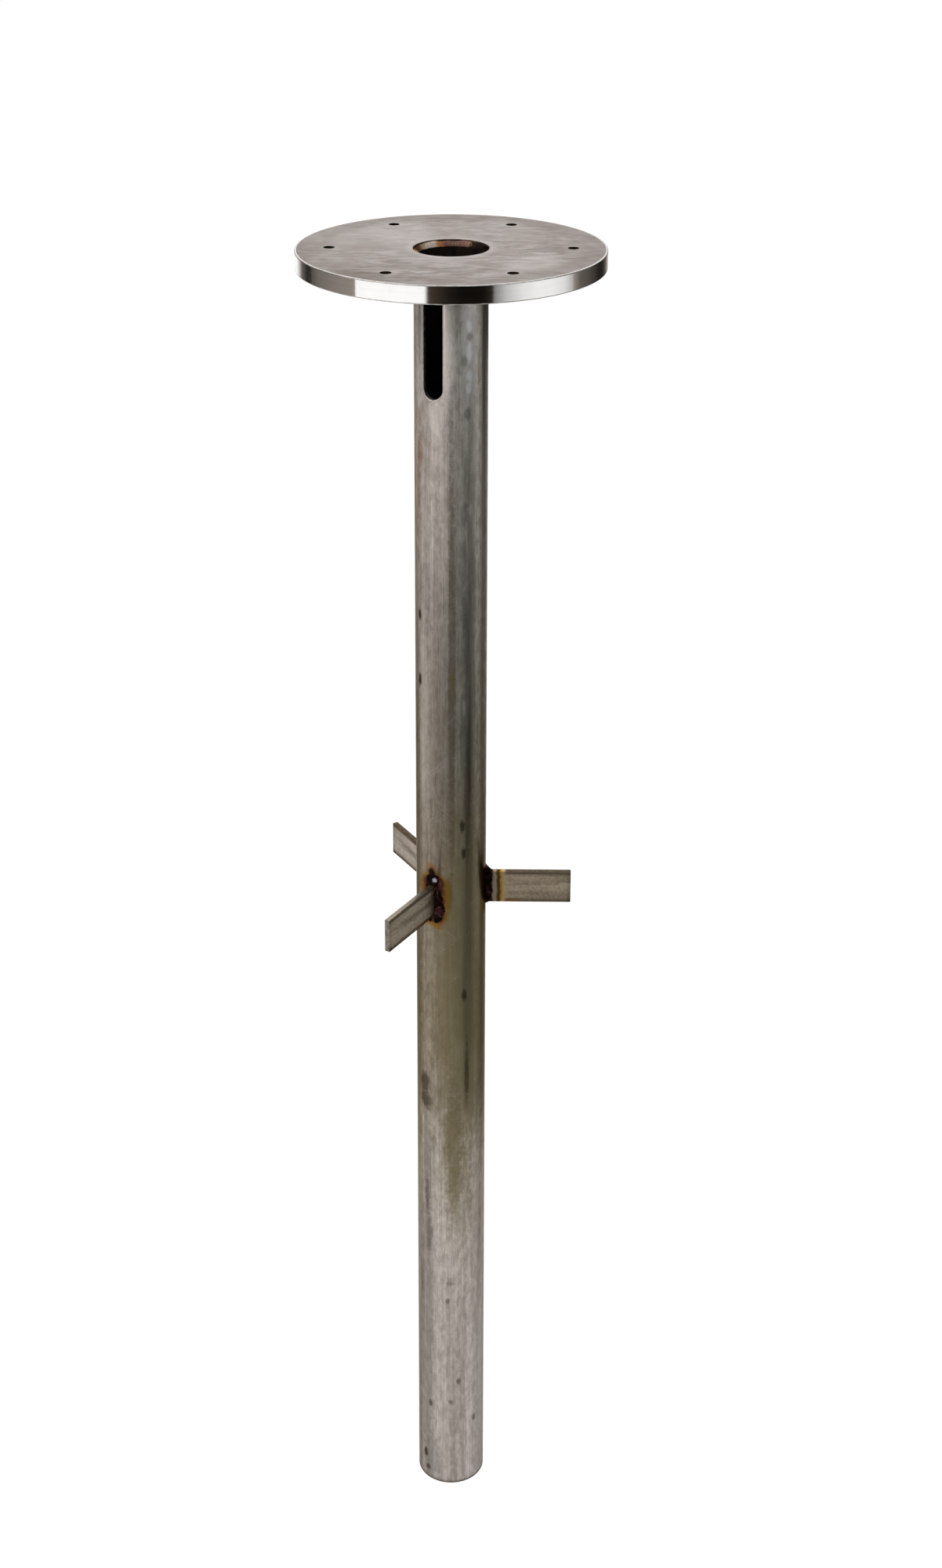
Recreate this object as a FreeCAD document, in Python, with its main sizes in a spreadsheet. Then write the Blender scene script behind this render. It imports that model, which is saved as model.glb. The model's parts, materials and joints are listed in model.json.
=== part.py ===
import FreeCAD, Part
import os
import Sketcher

# Steel ground post: a round flange on a slotted tube, keyed into concrete by three welded lugs.
# Millimetres, +Z up. The origin is the centre of the flange's top face, on the tube's axis.
# The cable slot, one flange hole and the front lug all face -Y.

# Driving dimensions, kept in the document's spreadsheet under these names.
SIZES = {
    # Tube: 1 1/2 inch steel pipe, sunk a little below the flange's top face.
    "tube_outside": 48.3,
    "tube_wall": 3.2,
    "tube_length": 940,
    "tube_recess": 4,
    "tube_foot_chamfer": 0.8,
    # Flange: a turned disc bored to slip over the tube.
    "flange_diameter": 200,
    "flange_thickness": 10,
    "flange_edge_chamfer": 0.8,
    "flange_bore_clearance": 0.25,
    # Flange holes: the tapping size of an M8 thread, deburred on both faces.
    "hole_count": 6,
    "hole_circle": 156,
    "hole_diameter": 6.8,
    "hole_mouth_diameter": 7.6,
    # Cable slot: round ended, just below the weld under the flange.
    "slot_width": 14,
    "slot_length": 77,
    "slot_below_weld": 3,
    # Lugs: rolled flat bar, cut square and set radially on the tube.
    "lug_length": 59,
    "lug_height": 23.5,
    "lug_thickness": 4,
    "lug_edge_radius": 0.6,
    "lug_depth": 454,
    # Welds: flat-faced fillets, each leg measured along the face that it lies on.
    "flange_top_weld_leg": 3,
    "flange_under_weld_leg": 5,
    "lug_weld_leg": 5,
    "lug_weld_overrun": 3,
}

# The lugs stand evenly round the tube, the first one under the slot.
LUG_PLACES = ("front", "right", "left")
FULL_TURN = 360

# Sketcher's names for a sketch's own origin and for the two ends and the centre of a curve.
SKETCH_ORIGIN = (-1, 1)
START, END, CENTRE = 1, 2, 3


class Size:
    """A length as a number, with the spreadsheet expression that gives it."""

    def __init__(self, value, text):
        self.value = value
        self.text = text

    def __add__(self, other):
        other = as_size(other)
        return Size(self.value + other.value, f"({self.text} + {other.text})")

    def __sub__(self, other):
        other = as_size(other)
        return Size(self.value - other.value, f"({self.text} - {other.text})")

    def __mul__(self, other):
        other = as_size(other)
        return Size(self.value * other.value, f"({self.text} * {other.text})")

    def __truediv__(self, other):
        other = as_size(other)
        return Size(self.value / other.value, f"({self.text} / {other.text})")

    def __neg__(self):
        return Size(-self.value, f"(-{self.text})")

    def root(self):
        return Size(self.value ** 0.5, f"sqrt({self.text})")


def as_size(number):
    return number if isinstance(number, Size) else Size(number, str(number))


def make_sheet(document):
    sheet = document.addObject("Spreadsheet::Sheet", "Dimensions")
    for row, (name, value) in enumerate(SIZES.items(), start=1):
        sheet.set(f"A{row}", name)
        sheet.set(f"B{row}", str(value))
        sheet.setAlias(f"B{row}", name)
    document.recompute()
    return sheet


DOC = FreeCAD.newDocument("ground_post")
SHEET = make_sheet(DOC)


def size(name):
    return Size(float(SHEET.get(name)), f"Dimensions.{name}")


NOTHING = as_size(0)
TUBE_RADIUS = size("tube_outside") / 2
TUBE_INSIDE = TUBE_RADIUS - size("tube_wall")
FLANGE_RADIUS = size("flange_diameter") / 2
FLANGE_UNDERSIDE = -size("flange_thickness")
BORE_RADIUS = TUBE_RADIUS + size("flange_bore_clearance")
TUBE_TOP = -size("tube_recess")
TUBE_FOOT = TUBE_TOP - size("tube_length")
SLOT_TOP = FLANGE_UNDERSIDE - size("flange_under_weld_leg") - size("slot_below_weld")
SLOT_FOOT = SLOT_TOP - size("slot_length")
LUG_HALF_THICKNESS = size("lug_thickness") / 2
LUG_HALF_HEIGHT = size("lug_height") / 2
LUG_TIP = TUBE_RADIUS + size("lug_length")


# Helpers for bodies and sketches

def bind(item, path, length):
    item.setExpression(path, length.text)


def new_body(label):
    body = DOC.addObject("PartDesign::Body", label)
    body.Label = label
    return body


def origin_feature(body, role):
    return next(feature for feature in body.Origin.OriginFeatures if feature.Role == role)


def new_sketch(body, name, plane, offset=NOTHING):
    """A sketch on one of the body's own planes, moved along that plane's normal by the offset."""
    sketch = body.newObject("Sketcher::SketchObject", f"{body.Name}_{name}")
    sketch.AttachmentSupport = [(origin_feature(body, plane), "")]
    sketch.MapMode = "FlatFace"
    bind(sketch, "AttachmentOffset.Base.z", offset)
    return sketch


def constrain(sketch, kind, where, length):
    """Add a constraint with a size and tie that size to the sheet."""
    index = sketch.addConstraint(Sketcher.Constraint(kind, *where, length.value))
    bind(sketch, f"Constraints[{index}]", length)


def hold_point(sketch, curve, end, across, up):
    """Hold one end of a curve at its place across and up from the sketch's origin."""
    constrain(sketch, "DistanceX", (*SKETCH_ORIGIN, curve, end), across)
    constrain(sketch, "DistanceY", (*SKETCH_ORIGIN, curve, end), up)


def vector(point):
    across, up = point
    return FreeCAD.Vector(across.value, up.value, 0)


def add_line(sketch, first, last):
    return sketch.addGeometry(Part.LineSegment(vector(first), vector(last)), False)


def add_arc(sketch, first, last, radius):
    """A minor arc that turns left from its first point to its last, with a held radius."""
    start, end = vector(first), vector(last)
    chord = end - start
    left = FreeCAD.Vector(-chord.y, chord.x, 0).normalize()
    rise = (max(radius.value ** 2 - (chord.Length / 2) ** 2, 0)) ** 0.5
    centre = (start + end) * 0.5 + left * rise
    crown = centre - left * radius.value
    curve = sketch.addGeometry(Part.Arc(start, crown, end), False)
    constrain(sketch, "Radius", (curve,), radius)
    return curve


def join_ends(sketch, curves):
    """Close a ring of curves, each one's end on the next one's start."""
    for curve, following in zip(curves, curves[1:] + curves[:1]):
        sketch.addConstraint(Sketcher.Constraint("Coincident", curve, END, following, START))


def add_outline(sketch, corners, first_side_radius=None):
    """A closed outline of straight sides, apart from a first side that may be an arc turning left."""
    sides = []
    for here, there in zip(corners, corners[1:] + corners[:1]):
        bowed = first_side_radius is not None and not sides
        side = add_arc(sketch, here, there, first_side_radius) if bowed else add_line(sketch, here, there)
        sides.append(side)
    join_ends(sketch, sides)
    for side, corner in zip(sides, corners):
        hold_point(sketch, side, START, *corner)


def revolve(body, sketch):
    turn = body.newObject("PartDesign::Revolution", f"{body.Name}_turn")
    turn.Profile = sketch
    turn.ReferenceAxis = (sketch, ["V_Axis"])
    turn.Angle = FULL_TURN
    return turn


# Sub-parts

def make_flange_plate():
    """A disc turned from plate: bored, chamfered at its rim, with a ring of deburred holes."""
    body = new_body("flange_plate")
    chamfer = size("flange_edge_chamfer")
    section = new_sketch(body, "section", "XZ_Plane")
    add_outline(section, [
        (BORE_RADIUS, NOTHING),
        (BORE_RADIUS, FLANGE_UNDERSIDE),
        (FLANGE_RADIUS - chamfer, FLANGE_UNDERSIDE),
        (FLANGE_RADIUS, FLANGE_UNDERSIDE + chamfer),
        (FLANGE_RADIUS, -chamfer),
        (FLANGE_RADIUS - chamfer, NOTHING),
    ])
    revolve(body, section)

    radius = size("hole_diameter") / 2
    mouth = size("hole_mouth_diameter") / 2
    sink = mouth - radius
    hole_section = new_sketch(body, "hole_section", "YZ_Plane")
    bind(hole_section, "AttachmentOffset.Base.x", -size("hole_circle") / 2)
    add_outline(hole_section, [
        (NOTHING, NOTHING),
        (mouth, NOTHING),
        (radius, -sink),
        (radius, FLANGE_UNDERSIDE + sink),
        (mouth, FLANGE_UNDERSIDE),
        (NOTHING, FLANGE_UNDERSIDE),
    ])
    hole = body.newObject("PartDesign::Groove", "flange_hole")
    hole.Profile = hole_section
    hole.ReferenceAxis = (hole_section, ["V_Axis"])
    hole.Angle = FULL_TURN
    DOC.recompute()

    ring = body.newObject("PartDesign::PolarPattern", "flange_hole_ring")
    ring.Originals = [hole]
    ring.Axis = (origin_feature(body, "Z_Axis"), [""])
    ring.Angle = FULL_TURN
    bind(ring, "Occurrences", size("hole_count"))
    body.Tip = ring
    return body


def make_post_tube():
    """A cut length of pipe with a deburred foot and one slot milled through its front wall."""
    body = new_body("post_tube")
    chamfer = size("tube_foot_chamfer")
    section = new_sketch(body, "section", "XZ_Plane")
    add_outline(section, [
        (TUBE_INSIDE, TUBE_TOP),
        (TUBE_INSIDE, TUBE_FOOT + chamfer),
        (TUBE_INSIDE + chamfer, TUBE_FOOT),
        (TUBE_RADIUS - chamfer, TUBE_FOOT),
        (TUBE_RADIUS, TUBE_FOOT + chamfer),
        (TUBE_RADIUS, TUBE_TOP),
    ])
    revolve(body, section)
    DOC.recompute()

    half_width = size("slot_width") / 2
    high, low = SLOT_TOP - half_width, SLOT_FOOT + half_width
    outline = new_sketch(body, "slot_outline", "XZ_Plane")
    left_side = add_line(outline, (-half_width, high), (-half_width, low))
    foot_arc = add_half_circle(outline, low, half_width, -1)
    right_side = add_line(outline, (half_width, low), (half_width, high))
    top_arc = add_half_circle(outline, high, half_width, 1)
    join_ends(outline, [left_side, foot_arc, right_side, top_arc])
    for arc, height in ((foot_arc, low), (top_arc, high)):
        constrain(outline, "DistanceY", (*SKETCH_ORIGIN, arc, CENTRE), height)
    hold_point(outline, left_side, START, -half_width, high)
    hold_point(outline, left_side, END, -half_width, low)
    hold_point(outline, right_side, START, half_width, low)
    hold_point(outline, right_side, END, half_width, high)

    slot = body.newObject("PartDesign::Pocket", "cable_slot")
    slot.Profile = outline
    slot.Reversed = True
    bind(slot, "Length", TUBE_RADIUS + size("tube_wall"))
    body.Tip = slot
    return body


def add_half_circle(sketch, height, radius, side):
    """Half a circle centred on the sketch's vertical axis, below it (side -1) or above it (side 1)."""
    first = FreeCAD.Vector(side * radius.value, height.value, 0)
    crown = FreeCAD.Vector(0, height.value + side * radius.value, 0)
    last = FreeCAD.Vector(-side * radius.value, height.value, 0)
    return sketch.addGeometry(Part.Arc(first, crown, last), False)


def place_lug_piece(body, place):
    """Set a lug, or its weld, at the lugs' height and turn it to its place round the tube."""
    turn = FULL_TURN / len(LUG_PLACES) * LUG_PLACES.index(place)
    body.Placement.Rotation = FreeCAD.Rotation(FreeCAD.Vector(0, 0, 1), turn)
    bind(body, "Placement.Base.z", -size("lug_depth"))


def make_anchor_lug(place):
    """A length of flat bar on edge, its root shaped to the tube and its rolled edges rounded."""
    body = new_body(f"anchor_lug_{place}")
    outline = new_sketch(body, "outline", "XY_Plane", -LUG_HALF_HEIGHT)
    half = LUG_HALF_THICKNESS
    root_depth = -(TUBE_RADIUS * TUBE_RADIUS - half * half).root()
    corners = [(-half, root_depth), (half, root_depth), (half, -LUG_TIP), (-half, -LUG_TIP)]
    add_outline(outline, corners, first_side_radius=TUBE_RADIUS)

    pad = body.newObject("PartDesign::Pad", f"{body.Name}_bar")
    pad.Profile = outline
    bind(pad, "Length", size("lug_height"))
    DOC.recompute()

    fillet = body.newObject("PartDesign::Fillet", f"{body.Name}_rolled_edges")
    fillet.Base = (pad, long_edges(pad.Shape))
    bind(fillet, "Radius", size("lug_edge_radius"))
    body.Tip = fillet
    place_lug_piece(body, place)
    return body


def long_edges(shape):
    """Names of the straight edges that run along Y."""
    names = []
    for number, edge in enumerate(shape.Edges, start=1):
        direction = edge.tangentAt(edge.FirstParameter)
        if isinstance(edge.Curve, Part.Line) and abs(direction.y) > abs(direction.x) + abs(direction.z):
            names.append(f"Edge{number}")
    return names


def make_ring_weld(label, corner, inward, upward, leg):
    """A fillet weld all round: a bead in the corner, one leg across and one leg up from it."""
    body = new_body(label)
    across, height = corner
    side_toe = (across + leg * inward, height)
    high_toe = (across, height + leg * upward)
    section = new_sketch(body, "section", "XZ_Plane")
    add_outline(section, [high_toe, side_toe, corner])
    body.Tip = revolve(body, section)
    return body


def make_lug_weld(place):
    """A fillet weld swept up one side of a lug's root, over its top edge and down the other side."""
    body = new_body(f"lug_weld_{place}")
    half = LUG_HALF_THICKNESS
    corner_radius = size("lug_edge_radius")
    leg = size("lug_weld_leg")
    start_height = -LUG_HALF_HEIGHT - size("lug_weld_overrun")
    shoulder = LUG_HALF_HEIGHT - corner_radius

    spine = new_sketch(body, "path", "XZ_Plane", TUBE_RADIUS)
    path_points = [
        (half, start_height), (half, shoulder),
        (half - corner_radius, LUG_HALF_HEIGHT), (-half + corner_radius, LUG_HALF_HEIGHT),
        (-half, shoulder), (-half, start_height),
    ]
    curves = []
    for index, (here, there) in enumerate(zip(path_points, path_points[1:])):
        rounded = index % 2 == 1
        curve = add_arc(spine, here, there, corner_radius) if rounded else add_line(spine, here, there)
        hold_point(spine, curve, START, *here)
        curves.append(curve)
    hold_point(spine, curves[-1], END, *path_points[-1])
    for curve, following in zip(curves, curves[1:]):
        spine.addConstraint(Sketcher.Constraint("Coincident", curve, END, following, START))

    toe_across = half + leg
    toe_depth = -(TUBE_RADIUS * TUBE_RADIUS - toe_across * toe_across).root()
    buried = -TUBE_INSIDE
    profile = new_sketch(body, "bead", "XY_Plane", start_height)
    add_outline(profile, [
        (half, -TUBE_RADIUS - leg),
        (toe_across, toe_depth),
        (toe_across, buried),
        (half, buried),
    ])

    bead = body.newObject("PartDesign::AdditivePipe", f"{body.Name}_bead_sweep")
    bead.Profile = profile
    bead.Spine = spine
    DOC.recompute()

    tube_cut = body.newObject("PartDesign::SubtractiveCylinder", f"{body.Name}_tube_cut")
    bind(tube_cut, "Radius", TUBE_RADIUS)
    bind(tube_cut, "Height", size("lug_height") * 2)
    bind(tube_cut, "Placement.Base.z", -size("lug_height"))
    body.Tip = tube_cut
    place_lug_piece(body, place)
    return body


def make_sub_parts():
    top_corner = (BORE_RADIUS, TUBE_TOP)
    under_corner = (TUBE_RADIUS, FLANGE_UNDERSIDE)
    sub_parts = [
        make_flange_plate(),
        make_post_tube(),
        make_ring_weld("flange_weld_top", top_corner, -1, 1, size("flange_top_weld_leg")),
        make_ring_weld("flange_weld_under", under_corner, 1, -1, size("flange_under_weld_leg")),
    ]
    for place in LUG_PLACES:
        sub_parts.append(make_anchor_lug(place))
        sub_parts.append(make_lug_weld(place))
    DOC.recompute()
    return sub_parts


# Checks and output

def check_document(sub_parts):
    for item in DOC.Objects:
        if "Invalid" in item.State or "Error" in item.State:
            raise RuntimeError(f"{item.Label} failed to compute: {item.State}")
        cuts = item.TypeId in ("PartDesign::Pocket", "PartDesign::Groove", "PartDesign::SubtractiveCylinder")
        if cuts and item.Shape.Volume >= item.BaseFeature.Shape.Volume:
            raise RuntimeError(f"{item.Label} cuts nothing")
    for body in sub_parts:
        if body.Shape.isNull() or not body.Shape.isValid() or len(body.Shape.Solids) != 1:
            raise RuntimeError(f"{body.Label} isn't one valid solid")


def write_steps(sub_parts):
    os.makedirs("parts", exist_ok=True)
    for body in sub_parts:
        body.Shape.exportStep(f"parts/{body.Label}.step")
        print(f"{body.Label}: {body.Shape.Volume:.1f} mm3")


SUB_PARTS = make_sub_parts()
check_document(SUB_PARTS)
write_steps(SUB_PARTS)
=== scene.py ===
import json
import math

import bmesh
import bpy
import numpy as np
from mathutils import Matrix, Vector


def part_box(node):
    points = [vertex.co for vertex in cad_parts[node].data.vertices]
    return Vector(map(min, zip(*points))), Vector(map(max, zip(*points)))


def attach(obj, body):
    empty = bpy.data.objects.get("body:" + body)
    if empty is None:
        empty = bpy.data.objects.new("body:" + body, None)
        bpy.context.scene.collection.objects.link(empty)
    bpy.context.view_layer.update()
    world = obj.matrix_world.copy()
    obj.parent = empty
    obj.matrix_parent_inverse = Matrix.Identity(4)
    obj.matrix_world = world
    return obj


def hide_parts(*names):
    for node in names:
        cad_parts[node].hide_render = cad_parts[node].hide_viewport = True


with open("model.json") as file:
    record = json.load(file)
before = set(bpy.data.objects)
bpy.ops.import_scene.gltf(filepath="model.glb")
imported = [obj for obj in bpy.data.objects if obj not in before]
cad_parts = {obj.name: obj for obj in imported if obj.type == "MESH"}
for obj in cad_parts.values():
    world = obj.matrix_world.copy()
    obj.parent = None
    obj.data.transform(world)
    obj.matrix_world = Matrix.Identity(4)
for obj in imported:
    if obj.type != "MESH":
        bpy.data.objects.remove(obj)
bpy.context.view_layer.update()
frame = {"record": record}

# Sizes read from the frame, in metres. Angles go round the tube from its front, -Y, towards +X.
MM = 0.001
MOUNTS = {mount["name"]: mount for mount in frame["record"]["mounts"]}
BOLTS = MOUNTS["flange_bolts"]["dims"]
FLANGE_LOW, FLANGE_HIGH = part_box("flange_plate")
TUBE_LOW, TUBE_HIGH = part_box("post_tube")
LUG_LOW, LUG_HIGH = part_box("anchor_lug_front")
TOP_WELD_LOW, TOP_WELD_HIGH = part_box("flange_weld_top")
UNDER_WELD_LOW, UNDER_WELD_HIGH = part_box("flange_weld_under")
FLANGE_RADIUS = min(FLANGE_HIGH.x, FLANGE_HIGH.y, -FLANGE_LOW.x, -FLANGE_LOW.y)
BORE_RADIUS = TOP_WELD_HIGH.x
HOLE_COUNT = BOLTS["count"]
HOLE_RING_RADIUS = BOLTS["pcd_mm"] * MM / 2
HOLE_RADIUS = BOLTS["hole_r_mm"] * MM
TUBE_RADIUS = TUBE_HIGH.x
TUBE_INSIDE = MOUNTS["tube_bore"]["dims"]["r_mm"] * MM
TUBE_TOP = TUBE_HIGH.z
TUBE_FOOT = TUBE_LOW.z
LUG_HALF_THICKNESS = (LUG_HIGH.x - LUG_LOW.x) / 2
LUG_HALF_HEIGHT = (LUG_HIGH.z - LUG_LOW.z) / 2
LUG_MIDDLE = (LUG_HIGH.z + LUG_LOW.z) / 2
LUG_TIP = -LUG_LOW.y
LUG_ANGLES = {"front": 0, "right": math.tau / 3, "left": -math.tau / 3}

# The plate's thickness as its rim shows it, the slot, and the small edge shapes
PLATE_THICKNESS = 12 * MM
FLANGE_UNDERSIDE = FLANGE_HIGH.z - PLATE_THICKNESS
SLOT_HALF_WIDTH = 7 * MM
SLOT_TOP = -18 * MM
SLOT_FOOT = -95 * MM
RIM_CHAMFER = 0.3 * MM
FOOT_CHAMFER = 0.8 * MM
HOLE_MOUTH_RADIUS = 3.8 * MM
THREAD_PITCH = 1.25 * MM
THREAD_DEPTH = 0.55 * MM
LUG_EDGE_RADIUS = 0.6 * MM

# The photograph's side of the post
CAMERA_ANGLE = math.radians(30.913)

# Points of neighbouring grids closer than this are one, and a bend sharper than this keeps its edge
SEAM_WIDTH = 0.002 * MM
SHARP_BEND = math.radians(32)


# Grids of points

def turned(points, angle):
    """Points turned about the tube's axis, from the front towards +X: x and y mixed by cosine and sine."""
    x, y, z = np.moveaxis(points, -1, 0)
    cosine, sine = math.cos(angle), math.sin(angle)
    return np.stack([x * cosine - y * sine, x * sine + y * cosine, z], axis=-1)


def around_axis(radius, angle, height):
    """Points at a distance from the tube's axis, an angle from its front and a height.

    x is the distance times the angle's sine, and y is minus the distance times its cosine.
    """
    radius, angle, height = np.broadcast_arrays(radius, angle, height)
    return np.stack([radius * np.sin(angle), -radius * np.cos(angle), height], axis=-1)


def at_height(plan, height):
    """Points over a plan of (x, y) places, at one height or at each place's own."""
    level = np.broadcast_to(height, plan.shape[:-1])
    return np.concatenate([plan, level[..., None]], axis=-1)


def on_skin(across, up):
    """Points on the front of the tube's skin: y is minus the root of its radius squared less x squared."""
    return np.stack([across, -np.sqrt(TUBE_RADIUS ** 2 - across ** 2), up], axis=-1)


def revolved(profile, angles):
    """A profile of (radius, height) points carried round the axis, one row for each of its points."""
    return around_axis(profile[:, :1], angles, profile[:, 1:])


def upright(radius, levels):
    """A straight profile at one distance from the axis."""
    return np.stack([np.full_like(levels, radius), levels], axis=-1)


def rounded(corners, reach, steps=5):
    """A line through the corners, each inner one cut back by the reach and bent along a parabola."""
    corners = np.asarray(corners, float)
    share = np.linspace(0, 1, steps + 1)[:, None]
    parts = [corners[:1]]
    for before, corner, after in zip(corners, corners[1:], corners[2:]):
        first = corner + (before - corner) * reach / np.linalg.norm(before - corner)
        last = corner + (after - corner) * reach / np.linalg.norm(after - corner)
        parts.append(first * (1 - share) ** 2 + corner * 2 * share * (1 - share) + last * share ** 2)
    parts.append(corners[-1:])
    return np.concatenate(parts)


def wander(along, waves):
    """A slow uneven swing: sines of the given (wavelength, size, start) added together."""
    return sum(size * np.sin(math.tau * along / length + start) for length, size, start in waves)


def grid_faces(grid):
    """The four-sided faces between neighbouring points of a grid, as numbers of points."""
    rows, columns = grid.shape[:2]
    index = np.arange(rows * columns).reshape(rows, columns)
    corners = [index[:-1, :-1], index[:-1, 1:], index[1:, 1:], index[1:, :-1]]
    return np.stack(corners, axis=-1).reshape(-1, 4)


def new_object(name, data):
    """An object that shows the data, put into the scene."""
    made = bpy.data.objects.new(name, data)
    bpy.context.scene.collection.objects.link(made)
    return made


def make_piece(name, sheets, replaces):
    """One closed mesh from grids of points, each with its finish, and what it stands for."""
    finishes = list(dict.fromkeys(finish for _, finish in sheets))
    points, faces, numbers, start = [], [], [], 0
    for grid, finish in sheets:
        quads = grid_faces(grid)
        points.append(grid.reshape(-1, 3))
        faces.append(quads + start)
        numbers.append(np.full(len(quads), finishes.index(finish), np.int32))
        start += len(points[-1])
    mesh = bpy.data.meshes.new(name)
    mesh.from_pydata(np.concatenate(points).tolist(), [], np.concatenate(faces).tolist())
    mesh.polygons.foreach_set("material_index", np.concatenate(numbers))
    for finish in finishes:
        mesh.materials.append(finish)
    close_seams(mesh)
    mesh.shade_smooth()
    mesh.set_sharp_from_angle(angle=SHARP_BEND)
    piece = new_object(name, mesh)
    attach(piece, "root")
    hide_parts(replaces)


def close_seams(mesh):
    """Join the grids where their edges meet, and turn every face outwards."""
    shell = bmesh.new()
    shell.from_mesh(mesh)
    bmesh.ops.remove_doubles(shell, verts=shell.verts, dist=SEAM_WIDTH)
    bmesh.ops.recalc_face_normals(shell, faces=shell.faces)
    shell.to_mesh(mesh)
    shell.free()


# Flange

RIM_STEPS = 40
RIM_ROWS = 28
BORE_STEPS = 16
SIDE_STEPS = 24
FACE_ROWS = 10
FACE_RADIUS = FLANGE_RADIUS - 1.2 * MM
RIM_MARGIN = 0.4 * MM
BORE_EDGE_RADIUS = BORE_RADIUS + 0.5 * MM
BORE_ROUND = 0.4 * MM
SECTOR_HALF = math.pi / HOLE_COUNT

# The thread's groove in parts of its depth: its height in the middle, before its bottom is cut off flat,
# and the fall of its two flanks over one pitch
THREAD_ROWS = 97
THREAD_PEAK = 1.2
THREAD_FALL = 2.6


def sector_outline():
    """One hole's share of the plate: the rim's arc, a side, the bore's arc and the other side."""
    side = np.linspace(FACE_RADIUS, BORE_EDGE_RADIUS, SIDE_STEPS + 1)
    angles = np.concatenate([
        np.linspace(-SECTOR_HALF, SECTOR_HALF, RIM_STEPS + 1),
        np.full(SIDE_STEPS - 1, SECTOR_HALF),
        np.linspace(SECTOR_HALF, -SECTOR_HALF, BORE_STEPS + 1),
        np.full(SIDE_STEPS, -SECTOR_HALF),
    ])
    radii = np.concatenate([
        np.full(RIM_STEPS + 1, FACE_RADIUS),
        side[1:-1],
        np.full(BORE_STEPS + 1, BORE_EDGE_RADIUS),
        side[-2::-1],
    ])
    return around_axis(radii, angles, 0.0)[:, :2]


def hole_sector():
    """One hole with its share of both faces.

    Each face is a fan of rays from the hole's mouth to the outline: the mouth plus the ray's length times
    the square of an even share, so that the rows lie closer together at the mouth. The wall is round, with
    a groove that winds down it once for each pitch and fades out at both mouths.
    """
    outline = sector_outline()
    centre = np.array([0, -HOLE_RING_RADIUS])
    ray = (outline - centre) / np.linalg.norm(outline - centre, axis=1)[:, None]
    mouth = centre + ray * HOLE_MOUTH_RADIUS
    share = np.linspace(0, 1, FACE_ROWS + 1)[:, None, None] ** 2
    plan = mouth + (outline - mouth) * share

    depth = np.linspace(0, PLATE_THICKNESS, THREAD_ROWS)[:, None]
    turn = np.arctan2(ray[:, 1], ray[:, 0]) / math.tau
    phase = (depth / THREAD_PITCH + turn) % 1
    from_face = np.minimum(depth, PLATE_THICKNESS - depth)
    fade = np.clip(from_face / THREAD_PITCH, 0, 1)
    groove = np.clip(THREAD_PEAK - THREAD_FALL * np.abs(phase - 0.5), 0, 1) * THREAD_DEPTH * fade
    radius = np.maximum(HOLE_RADIUS + groove, HOLE_MOUTH_RADIUS - from_face)
    wall = centre + ray * radius[..., None]
    return at_height(plan, 0.0), at_height(plan, FLANGE_UNDERSIDE), at_height(wall, -depth)


def make_flange(face, rim, hole, bore, upper_edge, lower_edge):
    """The plate: a sector for each threaded hole, the turned rim with its broken edges, and the bore."""
    sector = list(zip(hole_sector(), (face, face, hole)))
    sheets = []
    for number in range(HOLE_COUNT):
        angle = math.tau * number / HOLE_COUNT
        sheets += [(turned(grid, angle), finish) for grid, finish in sector]
    edge = rounded([
        (FACE_RADIUS, 0),
        (FLANGE_RADIUS - RIM_CHAMFER, 0),
        (FLANGE_RADIUS, -RIM_CHAMFER),
        (FLANGE_RADIUS, -RIM_CHAMFER - RIM_MARGIN),
    ], RIM_MARGIN / 2)
    opposite = edge[::-1] * [1, -1] + [0, FLANGE_UNDERSIDE]
    rim_wall = np.linspace(edge[-1], opposite[0], RIM_ROWS)
    bore_wall = rounded([
        (BORE_EDGE_RADIUS, 0),
        (BORE_RADIUS, 0),
        (BORE_RADIUS, FLANGE_UNDERSIDE),
        (BORE_EDGE_RADIUS, FLANGE_UNDERSIDE),
    ], BORE_ROUND)
    rim_angles, bore_angles = (
        np.linspace(-SECTOR_HALF, math.tau - SECTOR_HALF, steps * HOLE_COUNT + 1)
        for steps in (RIM_STEPS, BORE_STEPS))
    sheets += [
        (revolved(rim_wall, rim_angles), rim),
        (revolved(bore_wall, bore_angles), bore),
        (revolved(edge, rim_angles), upper_edge),
        (revolved(opposite, rim_angles), lower_edge),
    ]
    make_piece("flange_disc", sheets, "flange_plate")


# Tube

TUBE_STEPS = 144
TUBE_ROWS = 60
INSIDE_SKIP = 6
SLOT_SIDE_STEPS = 24
SLOT_EDGE_ROWS = 7
SLOT_OUTER_ROUND = 1.0 * MM
SLOT_INNER_ROUND = 0.3 * MM
BAND_MARGIN = 8 * MM
BAND_COLUMNS = 64
BAND_EASE = 1.3
BAND_TOP = SLOT_TOP + BAND_MARGIN
BAND_FOOT = SLOT_FOOT - BAND_MARGIN
FOOT_ROUND = 0.25 * MM


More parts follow.
